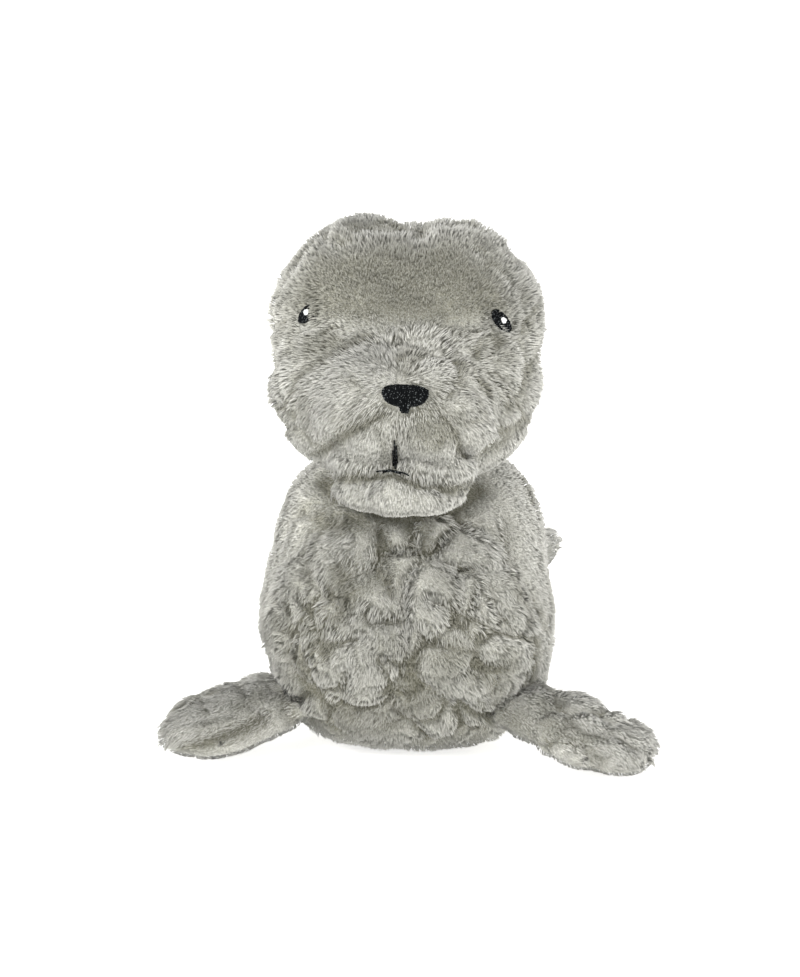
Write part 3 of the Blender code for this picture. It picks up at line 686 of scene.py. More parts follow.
BODY_FOLDS = (
    Fold(((-36.3, -41.9), (-33.3, -40.4), (-25.2, -40.7), (-18.5, -38.9)), 3.8 * MM, 0.5, 0.9),
    Fold(
        (
            (-37.8, -42.6), (-36.3, -48.5), (-34.8, -54.4), (-33.3, -59.6), (-28.1, -62.6),
            (-20.7, -64.4), (-13.3, -64.4), (-7.4, -60.4), (-8.1, -55.9),
        ),
        3.8 * MM,
        0.6,
        1.0,
    ),
    Fold(
        ((-7.0, -61.9), (-2.6, -68.5), (4.1, -69.6), (9.3, -68.5), (12.2, -63.3), (11.5, -60.4)),
        3.6 * MM,
        0.5,
        0.8,
    ),
    Fold(
        (
            (16.7, -61.9), (24.1, -67.0), (31.5, -68.1), (36.7, -64.1), (41.9, -55.9), (43.3, -48.5),
            (41.9, -39.3),
        ),
        3.8 * MM,
        0.6,
        0.9,
    ),
    Fold(
        (
            (6.3, 3.7), (5.6, -2.2), (4.1, -10.4), (-0.4, -18.5), (-0.7, -23.0), (-1.1, -33.3),
            (-1.9, -44.8), (-2.2, -59.3),
        ),
        3.2 * MM,
        0.42,
        0.6,
    ),
    Fold(((-16.3, -29.3), (-14.8, -33.3), (-4.1, -32.6)), 3.5 * MM, 0.4, 0.9),
    Fold(((-11.9, -46.3), (-9.6, -53.0)), 3.0 * MM, 0.4, 0.7),
    Fold(
        ((7.0, -25.2), (13.7, -28.1), (22.6, -32.6), (31.5, -37.8), (41.9, -39.3), (46.3, -36.3)),
        3.6 * MM,
        0.45,
        0.7,
    ),
    Fold(((32.2, 1.5), (34.4, -14.1), (38.1, -23.0), (41.9, -33.3)), 4.0 * MM, 0.4, 0.6),
    Fold(((-35.6, 0.0), (-36.3, -11.1), (-35.6, -23.0)), 4.0 * MM, 0.35, 0.6),
    Fold(((-45.2, -27.4), (-42.6, -34.1)), 3.5 * MM, 0.4, 0.8),
    Fold(((-45.2, -43.3), (-37.0, -53.0)), 4.0 * MM, 0.4, 0.9),
    Fold(((-33.0, 3.7), (-24.4, 2.2), (-18.1, 3.7)), 9.0 * MM, 0.1, 0.9),
    Fold(((-24.4, -15.6), (-21.9, -24.4), (-24.1, -30.4)), 9.0 * MM, 0.1, 0.85),
    Fold(((-40.0, -44.4), (-39.6, -54.1)), 6.0 * MM, 0.12, 0.9),
    Fold(((35.2, -15.6), (38.1, -25.9)), 6.0 * MM, 0.1, 0.6),
    Fold(((44.8, -40.7), (43.3, -59.3), (37.4, -64.4)), 5.0 * MM, 0.12, 0.9),
    # Painted shadow under the chin's overhang, across the neck.
    Fold(
        (
            (-31.5, 17.5), (-24.4, 11.2), (-15.2, 7.1), (-5.0, 5.0), (5.0, 4.6), (14.4, 7.1),
            (23.7, 14.9),
        ),
        7.5 * MM,
        0.6,
        1.0,
    ),
    Fold(((49.6, -13.3), (50.7, -25.9)), 6.0 * MM, 0.08, 0.5),
    Fold(((41.1, 19.3), (43.3, 11.1)), 6.0 * MM, 0.4, 0.3),
)

RIGHT_FLIPPER_FOLDS = (
    Fold(
        ((-83.3, -81.5), (-76.3, -79.3), (-69.6, -76.7), (-59.6, -73.0), (-55.2, -70.0)),
        4.6 * MM,
        0.5,
        0.6,
    ),
    Fold(((-87.8, -68.9), (-81.1, -66.3), (-74.8, -63.0), (-70.4, -61.9)), 4.6 * MM, 0.5, 0.6),
    Fold(((-78.1, -62.0), (-74.6, -69.1)), 4.5 * MM, 0.28, 0.25),
    Fold(((-63.3, -59.0), (-58.9, -69.5)), 4.5 * MM, 0.28, 0.25),
    Fold(((-63.3, -67.4), (-55.2, -63.0)), 7.0 * MM, 0.1, 0.5),
    Fold(((-76.3, -73.3), (-66.3, -71.1)), 4.0 * MM, 0.2, 0.4),
)

LEFT_FLIPPER_FOLDS = (
    Fold(((46.3, -58.5), (51.1, -63.0), (54.1, -67.4)), 4.0 * MM, 0.4, 0.9),
    Fold(((56.3, -71.1), (62.6, -75.9), (70.0, -77.8)), 4.0 * MM, 0.35, 0.6),
    Fold(((74.8, -77.8), (81.1, -81.5)), 3.6 * MM, 0.4, 0.8),
    Fold(((60.7, -79.3), (70.0, -84.1)), 3.4 * MM, 0.3, 0.5),
    Fold(((47.8, -64.8), (52.2, -73.3)), 7.0 * MM, 0.1, 0.6),
)


@dataclass(frozen=True)
class Lumps:
    """The plump lumps that stuffed plush falls into, with soft valleys between them."""

    size: float = 16 * MM
    wall: float = 0.21
    warp: float = 6 * MM
    warp_pitch: float = 15 * MM
    gap_pitch: float = 24 * MM

    def build(self) -> bpy.types.GeometryNodeTree:
        """Makes the node group that finds the valley at a place: a fold's, or one of its own, and the
        painted shade that the nearest fold lays there.
        """
        tree, _ = new_group(
            "valleys",
            {"Place": WAY, "Folds": SHAPE, "Width": NUMBER, "Lumps": NUMBER},
            {"Depth": NUMBER, "Fold": NUMBER, "Bare": NUMBER, "Away": WAY},
        )
        given = put(tree, GIVEN).outputs
        place, folds, width = given["Place"], given["Folds"], given["Width"]
        nearest = put(tree, "GeometryNodeSampleNearest", {"Geometry": folds, "Sample Position": place})
        known = {}
        for name in ("cut", "reach", "bare"):
            value = put(tree, NAMED, [name], data_type="FLOAT")
            known[name] = put(
                tree, SAMPLE, [folds, value, nearest], data_type="FLOAT"
            )
        spot = put(
            tree,
            SAMPLE,
            [folds, put(tree, PLACE), nearest],
            data_type="FLOAT_VECTOR",
        )
        away = put(tree, VECTOR, [place, spot], operation="SUBTRACT")
        far = put(tree, VECTOR, [away], operation="LENGTH")
        reach = put(tree, MATH, [known["reach"], width], operation="MULTIPLY")
        near = put(
            tree, MAP, [far, 0.0, reach, 1.0, 0.0], interpolation_type="SMOOTHSTEP"
        )
        fold = put(tree, MATH, [near, known["cut"]], operation="MULTIPLY")
        # Painted shade that the nearest fold lays here.
        bare = put(tree, MATH, [near, known["bare"]], operation="MULTIPLY")
        drift = put(
            tree, NOISE, {"Vector": place, "Scale": 1 / self.warp_pitch, "Detail": 1.0}
        )
        middle = put(tree, VECTOR, [drift.outputs["Color"], (0.5, 0.5, 0.5)], operation="SUBTRACT")
        moved = put(tree, VECTOR, [middle, (self.warp,) * 3, place], operation="MULTIPLY_ADD")
        cells = put(
            tree,
            VORONOI,
            {"Vector": moved, "Scale": 1 / self.size},
            feature="DISTANCE_TO_EDGE",
        )
        gaps = put(
            tree, NOISE, {"Vector": place, "Scale": 1 / self.gap_pitch, "Detail": 1.0}
        )
        lumpy = put(tree, NAMED, ["lumpy"], data_type="FLOAT")
        most = put(tree, MATH, [lumpy, given["Lumps"]], operation="MULTIPLY")
        deep = put(tree, MAP, [gaps, 0.38, 0.54, 0.0, most])
        wide = put(tree, MATH, [width, self.wall], operation="MULTIPLY")
        wall = put(
            tree, MAP, [cells, 0.0, wide, deep, 0.0], interpolation_type="SMOOTHSTEP"
        )
        depth = put(tree, MATH, [fold, wall], operation="MAXIMUM")
        flat = put(tree, VECTOR, [away], operation="NORMALIZE")
        put(tree, RESULT, [depth, fold, bare, flat])
        return tree


def build_stitch_distance() -> bpy.types.GeometryNodeTree:
    """The node group that finds how far a place is from any stitch, or 1 m if there are none."""
    tree, _ = new_group("stitch_distance", {"Stitches": SHAPE, "Place": WAY}, {"Far": NUMBER})
    given = put(tree, GIVEN).outputs
    near = put(
        tree,
        "GeometryNodeProximity",
        {"Geometry": given["Stitches"], "Sample Position": given["Place"]},
    ).outputs
    none = put(tree, "FunctionNodeBooleanMath", [near["Is Valid"]], operation="NOT")
    far = put(tree, MATH, [near["Distance"], none], operation="ADD")
    put(tree, RESULT, [far])
    return tree


class PuffTree:
    """The Geometry Nodes tree that raises the cloth to the top of its dense pile.

    The pile is thinner in the valleys, and stays below the embroidery. The cloth also gets painted
    shade in the valleys and folds, which its ground colour reads.
    """

    def __init__(
        self, valleys: bpy.types.GeometryNodeTree, stitches: bpy.types.GeometryNodeTree
    ) -> None:
        """Builds the tree from the groups that find valleys and stitches."""
        self.tree, self.sockets = new_group(
            "puff",
            {"Cloth": SHAPE, "Folds": THING, "Stitches": THING, "Rise": NUMBER, "Lumps": NUMBER},
            {"Puffed": SHAPE},
        )
        tree = self.tree
        given = put(tree, GIVEN).outputs
        place, normal = put(tree, PLACE), put(tree, "GeometryNodeInputNormal")
        drawn = put(tree, OBJECT, [given["Folds"]]).outputs["Geometry"]
        valley = put(
            tree,
            GROUP,
            {"Place": place, "Folds": drawn, "Width": 1.4, "Lumps": given["Lumps"]},
            node_tree=valleys,
        )
        high = put(tree, MAP, [valley, 0.0, 0.6, given["Rise"], 0.0])
        sewn = put(tree, OBJECT, [given["Stitches"]]).outputs["Geometry"]
        far = put(tree, GROUP, {"Stitches": sewn, "Place": place}, node_tree=stitches)
        room = put(tree, MATH, [far, 1.0 * MM], operation="SUBTRACT")
        above = put(tree, MATH, [room, 0.0], operation="MAXIMUM")
        rise = put(tree, MATH, [high, above], operation="MINIMUM")
        lift = put(tree, VECTOR, {"Vector": normal, "Scale": rise}, operation="SCALE")
        moved = put(tree, VECTOR, [place, lift], operation="ADD")
        rested = put(tree, VECTOR, [moved, (-9, -9, CLOTH_CLEARANCE)], operation="MAXIMUM")
        # Painted shade: darker in the valleys, and where folds are painted dark.
        shaded = put(tree, MAP, [valley, 0.05, PileTree.DARKEST, 0.0, 1.0])
        hollow = put(tree, MATH, [shaded, valley.outputs["Bare"]], operation="MAXIMUM")
        marked = put(
            tree,
            STORE,
            {"Geometry": given["Cloth"], "Name": "hollow", "Value": hollow},
            data_type="FLOAT",
            domain="POINT",
        )
        shaped = put(tree, MOVE, {"Geometry": marked, "Position": rested})
        put(tree, RESULT, [shaped])


class PileTree:
    """The Geometry Nodes tree that grows pile on cloth.

    Each strand is a slim three-sided spindle, bent from the way it leaves the cloth to the way
    of the nap. Strands lean together in fine clumps, and away from folds.
    """

    BEND = 0.62
    # The valley depth at which the painted shade is darkest.
    DARKEST = 0.55
    AREA = 14 * MM
    HELPERS = {
        "root", "belly", "end", "side", "over", "local", "id", "thick", "length", "zone", "first_way",
        "last_way", "hollow", "lumpy",
    }

    SETTINGS = {
        "Zone": 0, "Seed": 0, "Strands per square metre": 2.0e6, "Strand radius": 0.17 * MM,
        "Clump size": 1.3 * MM, "Clump pull": 0.25, "Tuft size": 3.6 * MM, "Tuft pull": 0.22,
        "Tuft swing": 0.6, "Swing": 0.45, "Swing pitch": 14 * MM, "Stray": 0.14,
        "Pile height": 3 * MM, "Length share": 1.0, "Lumps": 0.4, "Margin": 0.3 * MM,
        "Floor": FLOOR_CLEARANCE,
    }

    def __init__(
        self, material: bpy.types.Material, valleys: bpy.types.GeometryNodeTree,
        stitches: bpy.types.GeometryNodeTree,
    ) -> None:
        """Builds the tree from the groups that find valleys and stitches."""
        numbers = {
            name: "NodeSocketInt" if isinstance(value, int) else NUMBER
            for name, value in self.SETTINGS.items()
        }
        self.tree, self.sockets = new_group(
            "plush_pile",
            {"Cloth": SHAPE, "Folds": THING, "Stitches": THING, **numbers},
            {"Pile": SHAPE},
        )
        for socket in self.tree.interface.items_tree:
            if socket.name in self.SETTINGS:
                socket.default_value = self.SETTINGS[socket.name]
        self.material = material
        self.valleys = valleys
        self.stitches = stitches
        self.shape(*self.plant())

    def plant(self) -> tuple[bpy.types.Node, list[str]]:
        """Adds the nodes that place the strands and find each one's bend.

        Returns:
            The node whose points are the strands, and the names of the vectors they carry.
        """
        tree = self.tree
        given = put(tree, GIVEN).outputs
        zone = put(tree, NAMED, ["zone"], data_type="INT")
        chosen = put(
            tree, COMPARE, [zone, given["Zone"]], data_type="INT", operation="EQUAL"
        )
        thick = put(tree, NAMED, ["thick"], data_type="FLOAT")
        density = put(tree, MATH, [thick, given["Strands per square metre"]], operation="MULTIPLY")
        spread = put(
            tree,
            "GeometryNodeDistributePointsOnFaces",
            {"Mesh": given["Cloth"], "Selection": chosen, "Density": density, "Seed": given["Seed"]},
        )
        normal = spread.outputs["Normal"]
        root = put(tree, PLACE)
        sewn = put(tree, OBJECT, [given["Stitches"]]).outputs["Geometry"]
        far = 1.0
        for share in (0.3, 0.65, 1.0):
            level = put(tree, MATH, [given["Pile height"], share], operation="MULTIPLY")
            part = put(tree, VECTOR, {"Vector": normal, "Scale": level}, operation="SCALE")
            above = put(tree, VECTOR, [root, part], operation="ADD")
            away = put(
                tree, GROUP, {"Stitches": sewn, "Place": above}, node_tree=self.stitches
            )
            far = put(tree, MATH, [away, far], operation="MINIMUM")
        covered = put(
            tree,
            COMPARE,
            [far, given["Margin"]],
            data_type="FLOAT",
            operation="LESS_THAN",
        )
        points = put(tree, "GeometryNodeDeleteGeometry", [spread, covered], domain="POINT")
        clipped = put(tree, MAP, [far, given["Margin"], 3 * MM, 0.8, 1.0])

        first, last = (
            put(tree, NAMED, [name], data_type="FLOAT_VECTOR") for name in ("first_way", "last_way")
        )
        length = put(tree, NAMED, ["length"], data_type="FLOAT")
        bare = put(tree, NAMED, ["open"], data_type="FLOAT")
        drawn = put(tree, OBJECT, [given["Folds"]]).outputs["Geometry"]
        valley = put(
            tree,
            GROUP,
            {"Place": root, "Folds": drawn, "Width": 1.0, "Lumps": given["Lumps"]},
            node_tree=self.valleys,
        )
        depth, fold, away = (valley.outputs[name] for name in ("Depth", "Fold", "Away"))
        # Painted shade, from the cloth's open pile and from the nearest fold.
        fold_shade = put(tree, MATH, [bare, valley.outputs["Bare"]], operation="MAXIMUM")
        downstream = put(tree, VECTOR, [away, last], operation="DOT_PRODUCT").outputs["Value"]
        lee = put(tree, MAP, [downstream, -0.4, 0.4, 0.6, 1.25])
        sunk = put(tree, MATH, [depth, lee], operation="MULTIPLY")
        kept_share = put(tree, MATH, [sunk, -0.6, 1.0], operation="MULTIPLY_ADD")
        chance = put(
            tree, RANDOM, {"Min": 0.86, "Max": 1.06, "Seed": 7}, data_type="FLOAT"
        )
        small = put(tree, MATH, [1.0, given["Tuft size"]], operation="DIVIDE")
        tuft = put(tree, VORONOI, {"Vector": root, "Scale": small})
        cut = put(tree, MATH, [length, given["Length share"]], operation="MULTIPLY")
        trimmed = put(tree, MATH, [cut, chance], operation="MULTIPLY")
        shorter = put(tree, MATH, [trimmed, kept_share], operation="MULTIPLY")
        lots = put(tree, "ShaderNodeSeparateXYZ", [tuft.outputs["Color"]]).outputs
        taller = put(tree, MAP, [lots["X"], 0.0, 1.0, 0.88, 1.06])
        tufted = put(tree, MATH, [shorter, taller], operation="MULTIPLY")
        reach = put(tree, MATH, [tufted, clipped], operation="MULTIPLY")

        pitch = put(tree, MATH, [1.0, given["Swing pitch"]], operation="DIVIDE")
        drift = put(tree, NOISE, {"Vector": root, "Scale": pitch, "Detail": 1.0})
        middle = put(tree, VECTOR, [drift.outputs["Color"], (0.5,) * 3], operation="SUBTRACT")
        swing = put(tree, VECTOR, {"Vector": middle, "Scale": given["Swing"]}, operation="SCALE")
        stray = put(
            tree,
            RANDOM,
            {"Min": (-1, -1, -1), "Max": (1, 1, 1), "Seed": given["Seed"]},
            data_type="FLOAT_VECTOR",
        )
        wander = put(tree, VECTOR, {"Vector": stray, "Scale": given["Stray"]}, operation="SCALE")
        own = put(tree, VECTOR, [tuft.outputs["Color"], (0.5,) * 3], operation="SUBTRACT")
        swirl = put(tree, VECTOR, {"Vector": own, "Scale": given["Tuft swing"]}, operation="SCALE")
        looser = put(tree, VECTOR, [swing, wander], operation="ADD")
        turned = put(tree, VECTOR, [looser, swirl], operation="ADD")
        parted = put(tree, VECTOR, {"Vector": away, "Scale": fold}, operation="SCALE")
        pushed = put(tree, VECTOR, [parted, (0.4,) * 3, turned], operation="MULTIPLY_ADD")
        lower = put(tree, VECTOR, [pushed, (0.4,) * 3, first], operation="MULTIPLY_ADD")
        upper = put(tree, VECTOR, [last, pushed], operation="ADD")
        steps = []
        for way, share in ((lower, self.BEND), (upper, 1 - self.BEND)):
            part = put(tree, MATH, [reach, share], operation="MULTIPLY")
            steps.append(put(tree, VECTOR, {"Vector": way, "Scale": part}, operation="SCALE"))

        fine = put(tree, MATH, [1.0, given["Clump size"]], operation="DIVIDE")
        clump = put(tree, VORONOI, {"Vector": root, "Scale": fine})
        areas = put(tree, NOISE, {"Vector": root, "Scale": 1 / self.AREA, "Detail": 1.0})
        patchy = put(tree, MAP, [areas, 0.4, 0.6, 0.2, 1.0])
        towards = (0.0, 0.0, 0.0)
        for cell, strength in ((clump, given["Clump pull"]), (tuft, given["Tuft pull"])):
            middle = put(tree, VECTOR, [cell.outputs["Position"], root], operation="SUBTRACT")
            pull = put(tree, MATH, [strength, patchy], operation="MULTIPLY")
            drawn_in = put(tree, VECTOR, {"Vector": middle, "Scale": pull}, operation="SCALE")
            towards = put(tree, VECTOR, [drawn_in, towards], operation="ADD")
        raised = put(tree, VECTOR, [towards, normal], operation="DOT_PRODUCT").outputs["Value"]
        lift = put(tree, VECTOR, {"Vector": normal, "Scale": raised}, operation="SCALE")
        pulled = put(tree, VECTOR, [towards, lift], operation="SUBTRACT")
        knee = put(tree, VECTOR, [root, steps[0]], operation="ADD")
        belly = put(tree, VECTOR, [pulled, (self.BEND,) * 3, knee], operation="MULTIPLY_ADD")
        bare_end = put(tree, VECTOR, [knee, steps[1]], operation="ADD")
        end = put(tree, VECTOR, [bare_end, pulled], operation="ADD")
        run = put(tree, VECTOR, [end, root], operation="SUBTRACT")
        sideways = put(tree, VECTOR, [run, normal], operation="CROSS_PRODUCT")
        side = put(tree, VECTOR, [sideways], operation="NORMALIZE")
        outwards = put(tree, VECTOR, [side, run], operation="CROSS_PRODUCT")
        over = put(tree, VECTOR, [outwards], operation="NORMALIZE")

        carried = {"root": root, "belly": belly, "end": end, "side": side, "over": over}
        tipped = put(tree, VECTOR, [turned, (0.5,) * 3, normal], operation="MULTIPLY_ADD")
        lie = put(tree, VECTOR, [tipped], operation="NORMALIZE")
        for name, value in {**carried, "lie": lie}.items():
            points = put(
                tree,
                STORE,
                {"Geometry": points, "Name": name, "Value": value},
                data_type="FLOAT_VECTOR",
                domain="POINT",
            )
        shade = put(
            tree, RANDOM, {"Min": 0.88, "Max": 1.12, "Seed": 11}, data_type="FLOAT"
        )
        paler = put(tree, MAP, [lots["Y"], 0.0, 1.0, 0.93, 1.07])
        toned = put(tree, MATH, [shade, paler], operation="MULTIPLY")
        # Painted shade: darker as the strand sinks into a valley or fold.
        shaded = put(tree, MAP, [sunk, 0.05, self.DARKEST, 0.0, 1.0])
        open_shade_value = put(tree, MATH, [fold_shade, shaded], operation="MAXIMUM")
        for name, value in (("shade", toned), ("open", open_shade_value)):
            points = put(
                tree,
                STORE,
                {"Geometry": points, "Name": name, "Value": value},
                data_type="FLOAT",
                domain="POINT",
            )
        return points, list(carried)

    def shape(self, strands: bpy.types.Node, carried: list[str]) -> None:
        """Adds the nodes that put a spindle on each strand and bend it.

        Args:
            strands: The node whose points are the strands.
            carried: Names of the vectors that the strands carry.
        """
        tree = self.tree
        given = put(tree, GIVEN).outputs
        spindle = put(tree, "GeometryNodeMeshUVSphere", {"Segments": 3, "Rings": 2, "Radius": 1.0})
        marked = put(
            tree,
            STORE,
            {"Geometry": spindle, "Name": "local", "Value": put(tree, PLACE)},
            data_type="FLOAT_VECTOR",
            domain="POINT",
        )
        placed = put(tree, "GeometryNodeInstanceOnPoints", {"Points": strands, "Instance": marked})
        real = put(tree, "GeometryNodeRealizeInstances", [placed])
        known = {
            name: put(tree, NAMED, [name], data_type="FLOAT_VECTOR") for name in (*carried, "local")
        }
        local = put(tree, "ShaderNodeSeparateXYZ", [known["local"]]).outputs
        below = put(tree, MAP, [local["Z"], -1.0, 0.0, 0.0, 1.0])
        beyond = put(tree, MAP, [local["Z"], 0.0, 1.0, 0.0, 1.0])
        leg = put(tree, MIX, [below, known["root"], known["belly"]], data_type="VECTOR")
        centre = put(tree, MIX, [beyond, leg, known["end"]], data_type="VECTOR")
        across_part = put(
            tree, VECTOR, {"Vector": known["side"], "Scale": local["X"]}, operation="SCALE"
        )
        over_part = put(tree, VECTOR, {"Vector": known["over"], "Scale": local["Y"]}, operation="SCALE")
        ring = put(tree, VECTOR, [across_part, over_part], operation="ADD")
        girth = put(tree, VECTOR, {"Vector": ring, "Scale": given["Strand radius"]}, operation="SCALE")
        free = put(tree, VECTOR, [centre, girth], operation="ADD")
        low = put(tree, "ShaderNodeCombineXYZ", [-9.0, -9.0, given["Floor"]])
        rested = put(tree, VECTOR, [free, low], operation="MAXIMUM")
        bent = put(tree, MOVE, {"Geometry": real, "Position": rested})
        lower = put(tree, MATH, [below, self.BEND], operation="MULTIPLY")
        grade = put(tree, MATH, [beyond, 1 - self.BEND, lower], operation="MULTIPLY_ADD")
        graded = put(
            tree,
            STORE,
            {"Geometry": bent, "Name": "along", "Value": grade},
            data_type="FLOAT",
            domain="POINT",
        )
        rounded = put(tree, "GeometryNodeSetShadeSmooth", {"Geometry": graded, "Shade Smooth": True})
        dressed = put(tree, "GeometryNodeSetMaterial", {"Geometry": rounded, "Material": self.material})
        put(tree, RESULT, [dressed])

    def grow(self, cloth: bpy.types.Mesh, name: str, values: dict[str, Any]) -> bpy.types.Object:
        """Grows one piece of pile.

        Args:
            cloth: The cloth's mesh, with its zone, thick, painted shade, length and way attributes.
            name: The piece's name.
            values: Values for the tree's named inputs.

        Returns:
            The pile as a plain mesh object.
        """
        holder = plain_object(f"{name}_holder", cloth)
        grower = holder.modifiers.new("pile", "NODES")
        grower.node_group = self.tree
        for key, value in values.items():
            grower[self.sockets[key]] = value
        mesh = evaluated_mesh(holder)
        bpy.data.objects.remove(holder)
        mesh.name = name
        for attribute in [a.name for a in mesh.attributes if a.name in self.HELPERS]:
            mesh.attributes.remove(mesh.attributes[attribute])
        return plain_object(name, mesh)


def mottle(points: np.ndarray, seed: int) -> np.ndarray:
    """A slow random wave over the points, from about -1 to 1."""
    chance = np.random.default_rng(seed)
    total = np.zeros(len(points))
    for _ in range(24):
        way = unit(chance.normal(size=(1, 3)))[0]
        pitch = chance.uniform(14, 45) * MM
        total += np.sin(points @ way * 2 * math.pi / pitch + chance.uniform(0, 2 * math.pi))
    return total / 6


@dataclass(frozen=True)
class Workroom:
    """What every cover is made with."""

    ground: bpy.types.Material
    puff: PuffTree
    pile: PileTree
    view: StudioView


@dataclass
class Cover:
    """A cloth cover drawn over its filling, and the pile that grows on it."""

    name: str
    filling: tuple[str, ...]
    panels: tuple[str, ...]
    proud: float
    voxel: float = 4 * MM
    swell: float = 1.2 * MM
    fill: float = 0.8
    pile_height: float = 3.0 * MM
    puff: float = 4.0 * MM
    lumps: float = 0.6
    folds: tuple[Fold, ...] = ()

    def sew(self) -> None:
        """Makes the cloth: remeshed from its filling, swollen by its pressure between the seams."""
        mesh = merged_copy(self.filling)
        mesh.name = self.name
        self.cloth = plain_object(self.name, mesh)
        remesh = self.cloth.modifiers.new("even", "REMESH")
        remesh.mode = "VOXEL"
        remesh.voxel_size = self.voxel
        bake_modifiers(self.cloth)
        self.keep_outer_shell()
        smooth = self.cloth.modifiers.new("relax", "SMOOTH")
        smooth.factor = 0.5
        smooth.iterations = 4
        bake_modifiers(self.cloth)
        start = points_of(self.cloth.data) + normals_of(self.cloth.data) * self.proud
        set_points(self.cloth.data, off_floor(self.placed(start)))
        self.panel_trees = [tree_of(merged_copy((panel,))) for panel in self.panels]
        self.swell_out()
        self.clear_filling()
        finer = self.cloth.modifiers.new("fine", "SUBSURF")
        finer.levels = finer.render_levels = 1
        bake_modifiers(self.cloth)

    def placed(self, points: np.ndarray) -> np.ndarray:
        """Where the cloth's points lie before it swells."""
        return points

    def keep_outer_shell(self) -> None:
        """Deletes shells inside the filling, such as the squeaker's pocket."""
        shape = bmesh.new()
        shape.from_mesh(self.cloth.data)
        left = set(shape.verts)
        shells = []
        while left:
            queue = [left.pop()]
            shell = []
            while queue:
                vertex = queue.pop()
                shell.append(vertex)
                others = {edge.other_vert(vertex) for edge in vertex.link_edges} & left
                left -= others
                queue.extend(others)
            shells.append(shell)
        shells.sort(key=len)
        for shell in shells[:-1]:
            bmesh.ops.delete(shape, geom=shell, context="VERTS")
        shape.to_mesh(self.cloth.data)
        shape.free()

    def clear_filling(self) -> None:
        """Pushes the cloth out wherever the filling comes within 0.8 mm of it, on covers that stand
        proud of their filling.
        """
        mesh = self.cloth.data
        filling = tree_of(merged_copy(self.filling))
        points = points_of(mesh)
        for row, point in enumerate(points):
            place, normal, _, _ = filling.find_nearest(Vector(point))
            gap = (Vector(point) - place).dot(normal)
            if self.proud > 0 and gap < 0.8 * MM:
                points[row] = place + normal * 0.8 * MM
        set_points(mesh, off_floor(points))

    def panel_of(self, points: np.ndarray) -> np.ndarray:
        """The number of the panel nearest to each point."""
        away = np.array([distances(tree, points) for tree in self.panel_trees])
        return away.argmin(axis=0)

    def swell_out(self) -> None:
        """Runs the cloth under pressure, held at its seams, and caps how far it moves."""
        mesh = self.cloth.data
        before = points_of(mesh)
        owner = self.panel_of(before)
        seam = {
            i for edge in mesh.edges if len({*owner[list(edge.vertices)]}) > 1 for i in edge.vertices
        }
        held = self.cloth.vertex_groups.new(name="held")
        held.add(sorted(seam), 1.0, "REPLACE")
        cloth = self.cloth.modifiers.new("cloth", "CLOTH")
        cloth.settings.use_pressure = True
        cloth.settings.uniform_pressure_force = 4.0
        cloth.settings.effector_weights.gravity = 0.0
        cloth.settings.vertex_group_mass = held.name
        cloth.settings.quality = 4
        cloth.collision_settings.use_collision = False
        scene = bpy.context.scene
        for step in range(1, 21):
            scene.frame_set(step)
        after = evaluated_mesh(self.cloth)
        moved = points_of(after) - before
        bpy.data.meshes.remove(after)
        self.cloth.modifiers.clear()
        self.cloth.vertex_groups.clear()
        scene.frame_set(1)
        far = np.linalg.norm(moved, axis=1, keepdims=True)
        moved *= np.minimum(1, self.swell / np.maximum(far, 1e-9))
        set_points(mesh, off_floor(before + moved))

    def origin(self, view: StudioView) -> Vector:
        """The point that the folds are measured from."""
        return Vector(view.target)

    def draw_folds(self, view: StudioView) -> bpy.types.Object:
        """Lays the folds on the cloth, as points that know how deep and wide they are, and how much
        painted shade they lay.
        """
        cloth = tree_of(self.cloth.data)
        origin = self.origin(view)
        laid = [(point, fold) for fold in self.folds for point in fold.laid_on(cloth, view, origin)]
        mesh = bpy.data.meshes.new(f"{self.name}_folds")
        mesh.from_pydata([point for point, _ in laid], [], [])
        for name in ("cut", "reach", "bare"):
            values = [getattr(fold, name) for _, fold in laid]
            mesh.attributes.new(name, "FLOAT", "POINT").data.foreach_set("value", values)
        return plain_object(mesh.name, mesh)

    def nap(self, points: np.ndarray, normals: np.ndarray) -> tuple[np.ndarray, np.ndarray]:
        """The way that the nap lies at each point, and how far it lies down, from 0 to 1."""
        raise NotImplementedError

    def thickness(self, points: np.ndarray) -> np.ndarray:
        """The share of the pile that is there at each point."""
        return np.ones(len(points))

    def lumpiness(self, points: np.ndarray, normals: np.ndarray) -> np.ndarray:
        """How lumpy the cover is at each point, as a share of its lumps."""
        return np.ones(len(points))

    def open_shade_share(self, points: np.ndarray, normals: np.ndarray) -> np.ndarray:
        """How much painted shade of open pile each point gets: darker in slow random patches."""
        return 0.5 * np.clip(mottle(points, 6), 0, 1)

